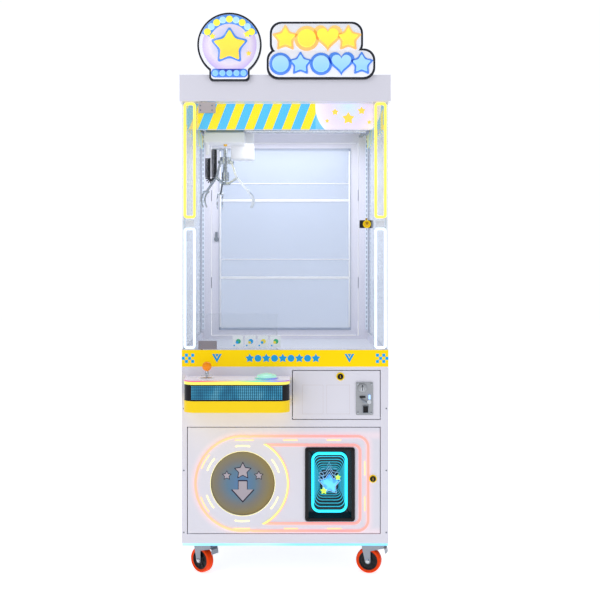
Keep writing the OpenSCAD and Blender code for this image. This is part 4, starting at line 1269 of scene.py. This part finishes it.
class CraneSigns(bpy.types.Operator):
    """Makes the round badge and the puffed banner on the header"""

    bl_idname = "crane.signs"
    bl_label = "Signs"

    def execute(self, context):
        dress("header_signs", "sign edge")
        face_y = front_of("header_signs")
        cx, cz = BADGE

        bm = bmesh.new()
        foot = rectangle((-285, -143), (1931, 2000))
        plate(bm, foot, face_y, 1.6, corner=12, rounding=0.8, segments=2)
        plate(bm, disc_points(cx, cz, 117, 96), face_y, 2.2, rounding=1.0, segments=2)
        make("badge_face", bm, "cabinet", "sign white")
        bm = bmesh.new()
        plate(bm, disc_points(cx, cz - 2, 104, 96), face_y - 2, 1.4, rounding=0.6, segments=2)
        make("badge_sky_disc", bm, "cabinet", "badge sky")

        bm = bmesh.new()
        plate(bm, star_points(cx, cz - 6, 66, 0.55), face_y - 3, 5, corner=9, rounding=2.6, segments=3)
        for x, z, r in ((cx - 66, cz + 32, 13), (cx + 68, cz + 40, 15), (cx + 74, cz - 34, 11)):
            plate(bm, star_points(x, z, r, 0.5), face_y - 3, 3, corner=1.5, rounding=1.2, segments=2)
        make("badge_stars", bm, "cabinet", "sun face")
        bm = bmesh.new()
        rim = star_points(cx, cz - 6, 78, 0.57)
        plate(bm, rim, face_y - 3, 2.4, corner=12, rounding=1.2, segments=2)
        make("badge_star_rim", bm, "cabinet", "sky rim")
        bm = bmesh.new()
        for i in range(9):
            bead = disc_points(*polar(cx, cz, 98, math.radians(150 - 15 * i)), 13.5, 28)
            plate(bm, bead, face_y - 2, 6, rounding=3.5, segments=4, slot=i % 2)
        for i in range(5):
            bead = disc_points(cx - 54 + 27 * i, 1954, 12, 28)
            plate(bm, bead, face_y - 1.4, 6, rounding=3.5, segments=4, slot=1)
        make("badge_beads", bm, "cabinet", "sun face", "sky face")
        bm = bmesh.new()
        arch = arc_bar(cx, cz, 98, (22, 158), 36, 28)
        plate(bm, arch, face_y - 1.8, 2.4, rounding=0.8, segments=2)
        tray = rectangle((cx - 71, cx + 71), (1937, 1971))
        plate(bm, tray, face_y - 1.2, 2.2, corner=16, rounding=0.8, segments=2)
        make("badge_bead_rim", bm, "cabinet", "sky rim")

        bm = bmesh.new()
        for x, z, depth in (((-51, 292), (2029, 2144), 1.7), ((-63, 339), (1939, 2041), 2.1)):
            plate(bm, rectangle(x, z), face_y, depth, corner=38, rounding=0.8, segments=2)
        make("banner_face", bm, "cabinet", "sign white")

        star, disc, heart = star_points, disc_points, heart_points
        rows = (
            ("upper", "sun", 2087, 52, ((star, 1), (disc, 83), (heart, 164), (star, 243))),
            ("lower", "sky", 1989, 47, ((disc, -18), (star, 59), (disc, 138), (heart, 216), (star, 294))),
        )
        for row, tone, z, r, signs in rows:
            back, front = bmesh.new(), bmesh.new()
            for kind, x in signs:
                size = r * 0.86 if kind is disc else r
                sharp = kind is star
                options = {"inner": 0.56} if sharp else {}
                plate(back, kind(x, z, size * 1.07, **options), face_y - 1.5, 4.5,
                      corner=7 if sharp else 0, rounding=2.0, segments=2)
                plate(front, kind(x, z, size * 0.8, **options), face_y - 5, 6.5,
                      corner=5 if sharp else 0, rounding=4.2, segments=4)
            make(f"banner_{row}_rims", back, "cabinet", f"{tone} rim")
            make(f"banner_{row}_puffs", front, "cabinet", f"{tone} face")
        return {"FINISHED"}


class CraneCase(bpy.types.Operator):
    """Finishes the glass case, its canopy, its lights and its door"""

    bl_idname = "crane.case"
    bl_label = "Glass case"

    def execute(self, context):
        dress("side_glass", "case glass", "glass edge", pick=lambda c, n: 1 if abs(n.x) < 0.5 else 0)
        dress("canopy", "canopy film")
        dress("front_glass", "door glass", "glass edge", pick=lambda c, n: 1 if abs(n.y) < 0.5 else 0)
        # The metal on a column is the strike plate at the lock's height.
        dress("front_columns", "column acrylic", "zinc plate",
              pick=lambda c, n: 1 if abs(c.x) < 341.9 and 1355 < c.z < 1393 else 0)
        # The strips lie under the cabinet, behind the case, and above and below the columns' joint.
        dress(
            "light_strips", "upper neon", "lower neon", "strip lamps", "base glow",
            pick=lambda c, n: 3 if c.z < 500 else 2 if c.y > 0 else 0 if c.z > 1380 else 1,
        )
        dress("glass_clamps", "clamp plate", "matt black", "lower clamp plate",
              pick=lambda c, n: 1 if 1350 < c.z < 1400 else 2 if c.z < 1000 else 0)
        dress("front_lock", "brass plug")
        dress("rear_door", "cabinet paint", "rear pane", pick=self.on_pane)
        dress("rear_lock", "zinc plate")

        bm = bmesh.new()
        for x, z in ((-283, 1833), (-283, 1815), (-328, 1833), (-328, 1815), (-328, 905), (-274, 905)):
            screw(bm, x, z, front_of("front_glass") - 3, 3.4)
        make("clamp_screws", bm, "front_door", "zinc plate", "matt black")
        lock_trim(
            ("door_lock_ring", "door_lock_plug"), ("front_door", "front_lock"), DOOR_LOCK,
            ring_y=front_of("glass_clamps"),
            ring=[(9.3, 0.4), (9.3, -2.6), (11.5, -4.2), (14.6, -3.4), (15.4, -1.0), (15.4, 0.4)],
            plug=[(0.0, -3.6), (6.6, -3.4), (8.2, -2.4), (8.8, 0.2), (0.0, 0.2)],
            slit=(0.8, 4.5, 4.2, 3.2),
            finishes=("brass plug", "matt black"),
        )

        cards, marks = bmesh.new(), bmesh.new()
        for i, (large, small) in enumerate(((0, 1), (1, 2), (2, 1), (0, 2))):
            x = -183.5 + 48.6 * i
            plate(cards, rectangle((x - 20.5, x + 20.5), (895, 941)), -339.2, 0.25, corner=2)
            plate(marks, disc_points(x + 2, 919, 9.5, 24), -339.5, 0.25, slot=large)
            plate(marks, disc_points(x - 3, 915, 5.5, 20), -339.8, 0.2, slot=small)
            plate(marks, disc_points(x - 14, 903, 3.2, 16), -339.5, 0.2, slot=1)
        make("guide_cards", cards, "front_door", "card print")
        make("guide_card_marks", marks, "front_door", "leaf print", "printed blue", "lime print")

        bm = bmesh.new()
        for x in (-368, 368):
            block(bm, (x - 16, x + 16), (-346.6, -344), (1364, 1388), 0.8, 2)
        make("column_joint_plates", bm, "cabinet", "white shell")

        bm = bmesh.new()
        for z in (1747, 1848.4):
            block(bm, (-388, 388), (-299.4, -298), (z - 1.2, z + 0.6), 0.3, 1)
        make("canopy_edge_trims", bm, "cabinet", "white shell")

        bm = bmesh.new()
        stars = ((196, 1815, 15), (300, 1820, 17), (248, 1790, 26), (330, 1775, 9), (165, 1780, 9))
        for x, z, r in stars:
            plate(bm, star_points(x, z, r, 0.52), -298.2, 0.6, corner=r * 0.12)
        make("canopy_stars", bm, "cabinet", "sun face")

        bm = bmesh.new()
        for z, tall in ((1506, 6), (1144, 6), (1585, 2), (1230, 2)):
            block(bm, (-303, 303), (477.5, 481), (z - tall, z + tall), 0.9, 2)
        for x in (-303, 303):
            block(bm, (x - 4, x + 4), (477, 481), (912, 1737), 1.0, 2)
        make("rear_window_bars", bm, "rear_door", "white shell")

        bm = bmesh.new()
        for x in (-341, 341):
            for z in (1120, 1530):
                block(bm, (x - 10, x + 10), (BACK, BACK + 2.4), (z - 26, z + 26), 1.0, 2)
                for dz in (-16, 16):
                    spun(bm, [(0.0, 3.8), (2.8, 3.6), (3.4, 2.2), (0.0, 2.2)],
                         (x, BACK, z + dz), (0, 1, 0), 14, 1)
        make("rear_door_straps", bm, "rear_door", "zinc plate", "matt black")
        return {"FINISHED"}

    @staticmethod
    def on_pane(c, n):
        """1 on the two faces of the rear pane, and 0 on the steel frame round it."""
        in_pane = 480.9 < c.y < 485.1 and abs(c.x) < 309.5 and abs(n.y) > 0.9
        in_frame = c.y > 484.9 and (abs(c.x) > 304 or c.z < 909 or c.z > 1740)
        return 1 if in_pane and not in_frame else 0


class CraneConsole(bpy.types.Operator):
    """Finishes the console and adds the controls' trims"""

    bl_idname = "crane.console"
    bl_label = "Console"

    def execute(self, context):
        dress("console_tray", "yellow plastic")
        dress("console_display", "dot display")
        dress("console_top", "console acrylic")
        dress("joystick_gimbal", "matt black")
        dress("joystick_stick", "bright chrome", "clear acrylic", "orange ball",
              pick=lambda c, n: 2 if c.z > 812 else 1 if 795.5 < c.z < 798.5 else 0)
        dress("push_button", "mint lens")

        bm = bmesh.new()
        spun(bm, [(37.4, 785.6), (37.6, 790.6), (39.0, 792.9), (42.2, 793.3), (46.5, 790.4),
                  (48.0, 786.0), (48.0, 785.6)], (*BUTTON, 0), (0, 0, 1), 64)
        make("button_flange", bm, "cabinet", "clear acrylic")
        bm = bmesh.new()
        spun(bm, [(37.2, 797.2), (36.6, 799.3), (34.6, 800.4), (32.4, 800.2), (31.6, 799.0),
                  (33.0, 797.2)], (*BUTTON, 0), (0, 0, 1), 64)
        make("button_rim", bm, "push_button", "mint lens")
        bm = bmesh.new()
        spun(bm, [(17.0, 785.4), (17.3, 788.0), (20.0, 789.4), (25.5, 788.4), (27.0, 785.4)],
             (*STICK, 0), (0, 0, 1), 48)
        make("stick_bezel", bm, "cabinet", "white shell")
        bm = bmesh.new()
        spun(bm, [(5.2, 800.0), (8.2, 800.6), (8.6, 803.5), (6.2, 812.0), (5.2, 814.0)],
             (*STICK, 0), (0, 0, 1), 32)
        make("stick_collar", bm, "stick", "bright chrome")
        bm = bmesh.new()
        for x in (-362, -1):
            block(bm, (x - 9, x + 9), (-470, -440), (709, 711.5), 0.6, 2)
        make("display_feet", bm, "cabinet", "black plastic")
        return {"FINISHED"}


class CraneCoinDoor(bpy.types.Operator):
    """Finishes the coin door, its lock and its coin acceptor"""

    bl_idname = "crane.coin_door"
    bl_label = "Coin door"

    def execute(self, context):
        dress("coin_door", "cabinet paint")
        dress("coin_acceptor", "cast zinc")
        dress("reject_button", "bright chrome")
        dress("coin_lock", "matt black")
        bm = bmesh.new()
        low, high = 639, 751
        depth = (FRONT - 0.25, FRONT + 0.2)
        for left, right in ((67, 147), (161, 250)):
            for z in (low, high):
                block(bm, (left, right), depth, (z - 0.5, z + 0.5))
            for x in (left, right):
                block(bm, (x - 0.5, x + 0.5), depth, (low, high))
        make("knock_out_lines", bm, "coin_door", "print grey")
        lock_trim(
            ("coin_lock_ring", "coin_lock_face"), ("coin_door", "coin_lock"), COIN_LOCK, ring_y=FRONT,
            ring=[(11.2, 0.2), (11.2, -2.6), (12.6, -4.0), (15.2, -3.2), (16.0, -0.8), (16.0, 0.2)],
            plug=[(0.0, -1.4), (7.4, -1.4), (9.8, -0.6), (10.6, 0.6), (0.0, 0.6)],
            slit=(0.9, 5.5, 2.2, 1.2),
            finishes=("black plastic", "brass plug"),
        )

        face = front_of("coin_acceptor")
        bm = bmesh.new()
        for x in (281, 333):
            for z in (644, 755):
                screw(bm, x, z, face, 3.6)
        spun(bm, [(0.0, -1.2), (11.0, -1.2), (13.6, -0.8), (16.6, 0.6), (17.4, 2.6), (0.0, 2.6)],
             (299, face, 741), (0, 1, 0), 48, slot=2)
        for left, right in ((294.6, 297.6), (300.4, 303.4)):
            block(bm, (left, right), (face - 3.2, face - 0.6), (730.5, 751.5), 1.0, 2)
        block(bm, (297.8, 300.2), (face - 1.5, face - 0.6), (730, 752), slot=1)
        block(bm, (288, 311), (face - 0.7, face + 1), (702.5, 709), 0.6, 2, slot=1)
        block(bm, (302, 320), (face + 2.6, face + 3.4), (644, 672), slot=1)
        make("acceptor_fittings", bm, "coin_door", "bright chrome", "matt black", "cast zinc")
        bm = bmesh.new()
        points = [(290, 700), (296, 701.5), (317, 684), (313.5, 678.5), (306, 682)]
        plate(bm, points, face, 3.2, corner=1.6, rounding=0.8, segments=2)
        for z in (671, 643.5):
            block(bm, (299.5, 322.5), (face - 1.2, face + 0.5), (z, z + 2.2), 0.5, 2)
        for x in (299.5, 320.6):
            block(bm, (x, x + 1.9), (face - 1.2, face + 0.5), (643.5, 673.2), 0.5, 2)
        make("acceptor_lever", bm, "coin_door", "zinc plate")
        bm = bmesh.new()
        plate(bm, rectangle((322, 330), (697, 714)), face, 1.2, corner=2.0, rounding=0.5, segments=2)
        make("acceptor_lamp", bm, "coin_door", "blue lamp")
        return {"FINISHED"}


class CraneLowerDoor(bpy.types.Operator):
    """Finishes the lower door, its lit tracks, the prize flap and the light box"""

    bl_idname = "crane.lower_door"
    bl_label = "Lower door"

    def execute(self, context):
        dress("lower_door", "lit door paint")
        dress("door_lights", "track light")
        dress("lower_lock", "matt black")
        dress("prize_flap", "flap film", "zinc plate", pick=lambda c, n: 1 if c.y > -341.8 else 0)
        y = FRONT
        cx, cz = HOLE

        bm = bmesh.new()
        dashes = [
            rectangle(span, (z - 2.6, z + 2.6))
            for z, spans in ((538, ((-195, -121), (-8, 49), (161, 217))),
                             (195, ((162, 219), (-5, 51), (-201, -135))))
            for span in spans
        ]
        dashes += [rectangle((306.4, 311.6), span) for span in ((401, 457), (263, 321))]
        for points in dashes:
            plate(bm, points, y, 1.2, corner=2.4, rounding=0.4, segments=1)
        for angles in ((139, 160), (198, 220)):
            plate(bm, arc_bar(cx, cz, 170, angles, 5, 12), y, 1.2, rounding=0.4, segments=1)
        make("outer_dashes", bm, "lower_door", "peach lamps")
        bm = bmesh.new()
        for angles in ((79, 101), (17, 40), (-42, -20.5), (258, 280), (198, 220), (138, 160)):
            plate(bm, arc_bar(cx, cz, 146, angles, 4.6, 12), y, 1.2, rounding=0.4, segments=1)
        make("ring_dashes", bm, "lower_door", "dash lamps")

        bm = bmesh.new()
        spun(bm, [(123.9, 0.8), (123.9, -0.5), (124.4, -1.0), (125.6, -0.9), (126.0, -0.3),
                  (126.0, 0.2)], (cx, y, cz), (0, 1, 0), 128)
        make("prize_hole_rim", bm, "lower_door", "rim lamp")

        flap_y = front_of("prize_flap")
        dark, pale = bmesh.new(), bmesh.new()
        arrow = [(-16, 30), (16, 30), (16, -2), (40, -2), (0, -46), (-40, -2), (-16, -2)]
        for bm, grow, depth in ((dark, 5.0, 0.5), (pale, 0.0, 0.9)):
            size = 1 + grow / 32
            points = [(cx + px * size, cz - 22 + pz * size) for px, pz in arrow]
            plate(bm, points, flap_y, depth, corner=2.5)
            plate(bm, star_points(cx, cz + 48, 30 + grow * 1.3, 0.5), flap_y, depth, corner=2.5)
            for dx in (-62, 62):
                plate(bm, star_points(cx + dx, cz + 30, 15 + grow, 0.5), flap_y, depth, corner=1.2)
        make("flap_mark_shadows", dark, "prize_flap", "print navy")
        make("flap_marks", pale, "prize_flap", "flap grey")

        lock_trim(
            ("lower_lock_ring", "lower_lock_face"), ("lower_door", "lower_lock"), LOWER_LOCK, ring_y=y,
            ring=[(11.2, 0.2), (11.2, -2.4), (12.4, -3.6), (14.6, -2.8), (15.5, -0.6), (15.5, 0.2)],
            plug=[(0.0, -1.2), (7.2, -1.2), (9.4, -0.6), (10.4, 0.6), (0.0, 0.6)],
            slit=(0.9, 5.5, 2.0, 1.0),
            finishes=("black plastic", "brass plug"),
        )
        self.light_box(y)
        return {"FINISHED"}

    def light_box(self, y):
        """Makes the deep mirrored box, its lit loops and the star inside, with dimming copies of the tube
        and the star deeper in the box that stand in for their reflections: painted reflections.
        """
        bm = bmesh.new()
        face = outline(bm, rectangle((77, 270), (224, 510)), y, corner=10)
        bmesh.ops.inset_region(bm, faces=[face], thickness=13.5, use_boundary=True, use_even_offset=True)
        window = min(bm.faces, key=lambda f: (f.calc_center_median() - Vector((173.5, y, 367))).length)
        rim = [f for f in bm.faces if f is not window]
        shift(bm, [window], (0, 44, 0))
        to_slot(bm, rim, 1)
        raised = shift(bm, rim, (0, -6, 0))
        edges = [e for e in raised if isinstance(e, bmesh.types.BMEdge) and e.calc_face_angle(0) > 0.7]
        soften(bm, edges, 1.2, 2)
        make("light_box_shell", bm, "lower_door", "black plastic", "dark mirror",
             stands_for=("light_box",), slot="black_plastic")
        # Each loop after the first is a dimmer, smaller copy of the tube deeper in the box: a painted
        # reflection in the mirror.
        sides = (0, 6, 10, 14, 18, 21, 24, 27)
        drops = (0, 13, 25, 36, 46, 55, 62, 68)
        rises = (0, 17, 29, 40, 50, 58, 65, 70)
        for i, (side, drop, rise) in enumerate(zip(sides, drops, rises)):
            x, z = (107 + side, 237 - side), (262 + rise, 486 - drop)
            points = loop_points(x, z, y + 3 + 4.6 * i, 26 - i)
            if i == 0:
                tube("light_box_tube", points, 5.2, "lower_door", "cyan tube", closed=True)
            else:
                tube(f"light_box_echo_{i}", points, 1.7, "lower_door", f"echo lamp {i}", closed=True)
        # The star's dimming outlines deeper in the box are painted reflections of the star in the mirror.
        for i in range(4):
            star = star_points(172, 366 + 13 * i, 46 - 2 * i, 0.55)
            points = [(px, y + 12 + 7 * i, pz) for px, pz in star]
            tube(f"light_box_outline_{i + 1}", points, 1.3, "lower_door", f"pale echo {i + 1}",
                 closed=True)
        bm = bmesh.new()
        plate(bm, star_points(172, 366, 40, 0.55), y + 10, 2.5, corner=6, rounding=1.2, segments=2)
        plate(bm, star_points(150, 340, 15, 0.5), y + 7, 2.0, corner=1.5, slot=1)
        plate(bm, star_points(205, 392, 12, 0.5), y + 7, 2.0, corner=1.5, slot=1)
        make("light_box_star", bm, "lower_door", "azure lamp", "lime lamp")


class CraneClaw(bpy.types.Operator):
    """Finishes the gantry, the trolley and the claw, and makes the trolley's shell"""

    bl_idname = "crane.claw"
    bl_label = "Gantry and claw"

    def execute(self, context):
        dress("gantry_rails", "zinc plate")
        dress("bridge", "zinc plate", "rod steel", pick=lambda c, n: 1 if abs(c.x) < 333 else 0)
        dress("bridge_shaft", "rod steel", "matt black", pick=lambda c, n: 1 if abs(c.x) > 349 else 0)
        dress("trolley", "zinc plate")
        dress("trolley_cover", "white shell")
        dress("hoist_drum", "white shell")
        for node in ("claw_head", "claw_plunger"):
            dress(node, "claw steel")
        for i in (1, 2, 3):
            dress(f"claw_arm_{i}", "claw chrome")
            dress(f"claw_link_{i}", "claw steel")

        bm = bmesh.new()
        block(bm, (-325, -163), (-195, -65), (1706, 1748), 5, 4)
        top = [f for f in bm.faces if f.normal.z > 0.9]
        inset = bmesh.ops.inset_region(bm, faces=top, thickness=2.4)
        inner = [f for f in bm.faces if f.normal.z > 0.9 and f not in inset["faces"]]
        shift(bm, inner, (0, 0, -39))
        make("trolley_shell", bm, "trolley", "white shell", stands_for=("trolley_cover",),
             slot="white_panel")
        bm = bmesh.new()
        block(bm, (-225, -130), (-67, 15), (1650, 1782), 6, 4)
        for z in (1672, 1758):
            spun(bm, [(0.0, 17.0), (2.9, 16.8), (3.4, 14.8), (0.0, 14.8)], (-142, 0, z), (0, 1, 0),
                 14, 1)
        make("motor_shell", bm, "trolley", "white shell", "matt black")
        bm = bmesh.new()
        spun(bm, [(4.4, 1662), (6.6, 1662.6), (7.0, 1665), (7.0, 1703), (7.6, 1706.2), (4.4, 1706.2),
                  (4.4, 1662)], (*CURL, 0), (0, 0, 1), 28)
        make("cord_sleeve", bm, "trolley", "white shell")
        bm = bmesh.new()
        spun(bm, [(2.2, 1698), (6.0, 1698.4), (7.2, 1700.5), (7.2, 1705.2), (9.4, 1706.4),
                  (2.2, 1706.4), (2.2, 1698)], (*HOIST, 0), (0, 0, 1), 28)
        make("hoist_guide", bm, "trolley", "brass plug")
        return {"FINISHED"}


class CraneCasters(bpy.types.Operator):
    """Finishes the casters' forks and makes their wheels"""

    bl_idname = "crane.casters"
    bl_label = "Casters"

    SPOKE = (17, 3, 25.6)  # a rib's length, thickness and width in millimetres
    SPOKE_MIDDLE = 25  # from the axle to the middle of a rib

    def execute(self, context):
        for i in (1, 2, 3, 4):
            dress(f"caster_fork_{i}", "zinc plate")
            joint = JOINTS[f"caster_{i}_roll"]
            centre = Vector(joint["pos_m"]) * 1000
            axis = Vector(joint["axis"]).normalized()
            self.wheel(i, centre, axis, context.scene.crane_casters.ribs)
            bm = bmesh.new()
            for side in (-1, 1):
                cap = [(0.0, 26.2), (5.2, 26.0), (7.6, 24.2), (8.4, 21.7), (0.0, 21.7)]
                spun(bm, [(r, side * a) for r, a in cap], centre, axis, 24)
            make(f"axle_caps_{i}", bm, f"fork_{i}", "bright chrome")
        for i in (1, 2):
            dress(f"brake_pedal_{i}", "zinc plate")
        return {"FINISHED"}

    def wheel(self, number, centre, axis, ribs):
        """Makes a grooved tyre on a ribbed hub, round its axle."""
        bm = bmesh.new()
        tread = [(37.0, -13.0), (40.5, -14.0), (44.5, -16.0), (47.2, -15.2), (49.2, -12.0),
                 (49.8, -8.4), (49.8, -6.6), (48.0, -6.0), (48.0, -4.6), (49.9, -4.0)]
        tread += [(r, -a) for r, a in reversed(tread)]
        spun(bm, tread + tread[:1], centre, axis, 64)
        disc = [(37.4, 13.2), (36.0, 14.2), (33.6, 13.8), (32.2, 10.4), (17.5, 9.6), (16.0, 13.0),
                (12.0, 15.2), (6.2, 15.6), (6.2, 0.0), (37.4, 0.0), (37.4, 13.2)]
        for side in (-1, 1):
            spun(bm, [(r, side * a) for r, a in disc], centre, axis, 48, 1)
        first_way = axis.orthogonal().normalized()
        for k in range(ribs):
            out = Matrix.Rotation(math.tau * k / ribs, 4, axis) @ first_way
            across = axis.cross(out)
            middle = centre + out * self.SPOKE_MIDDLE
            spoke = Matrix((
                (out.x, across.x, axis.x, middle.x),
                (out.y, across.y, axis.y, middle.y),
                (out.z, across.z, axis.z, middle.z),
                (0, 0, 0, 1),
            )) @ Matrix.Diagonal((*self.SPOKE, 1))
            made = bmesh.ops.create_cube(bm, size=1.0, matrix=spoke)
            for face in {f for v in made["verts"] for f in v.link_faces}:
                face.material_index = 1
        make(f"caster_tyre_{number}", bm, f"wheel_{number}", "tyre polyurethane", "hub nylon",
             stands_for=(f"caster_wheel_{number}",), slot="orange_tyre")


class CranePanel(bpy.types.Panel):
    """Lists the machine's settings and operators"""

    bl_idname = "VIEW3D_PT_crane"
    bl_label = "Claw crane machine"
    bl_space_type = "VIEW_3D"
    bl_region_type = "UI"
    bl_category = "Crane"

    def draw(self, context):
        layout = self.layout
        for label in SETTINGS:
            settings = getattr(context.scene, label)
            box = layout.box()
            for item in settings.bl_rna.properties.keys():
                if item not in ("rna_type", "name"):
                    box.prop(settings, item)
        for operator in OPERATORS:
            layout.operator(operator.bl_idname)


SETTINGS = {
    "crane_cabinet": CabinetSettings,
    "crane_lights": LightSettings,
    "crane_cords": CordSettings,
    "crane_casters": CasterSettings,
    "crane_stage": StageSettings,
}
OPERATORS = (
    CraneStage,
    CraneCords,
    CraneCabinet,
    CraneSigns,
    CraneCase,
    CraneConsole,
    CraneCoinDoor,
    CraneLowerDoor,
    CraneClaw,
    CraneCasters,
)


def register():
    for item in (*SETTINGS.values(), *OPERATORS, CranePanel):
        bpy.utils.register_class(item)
    for label, kind in SETTINGS.items():
        setattr(bpy.types.Scene, label, PointerProperty(type=kind))


def unregister():
    for label in SETTINGS:
        delattr(bpy.types.Scene, label)
    for item in reversed((*SETTINGS.values(), *OPERATORS, CranePanel)):
        bpy.utils.unregister_class(item)


def main():
    register()
    bpy.ops.crane.stage()
    bpy.ops.crane.cords()
    bpy.ops.crane.cabinet()
    bpy.ops.crane.signs()
    bpy.ops.crane.case()
    bpy.ops.crane.console()
    bpy.ops.crane.coin_door()
    bpy.ops.crane.lower_door()
    bpy.ops.crane.claw()
    bpy.ops.crane.casters()


if __name__ == "__main__":
    main()
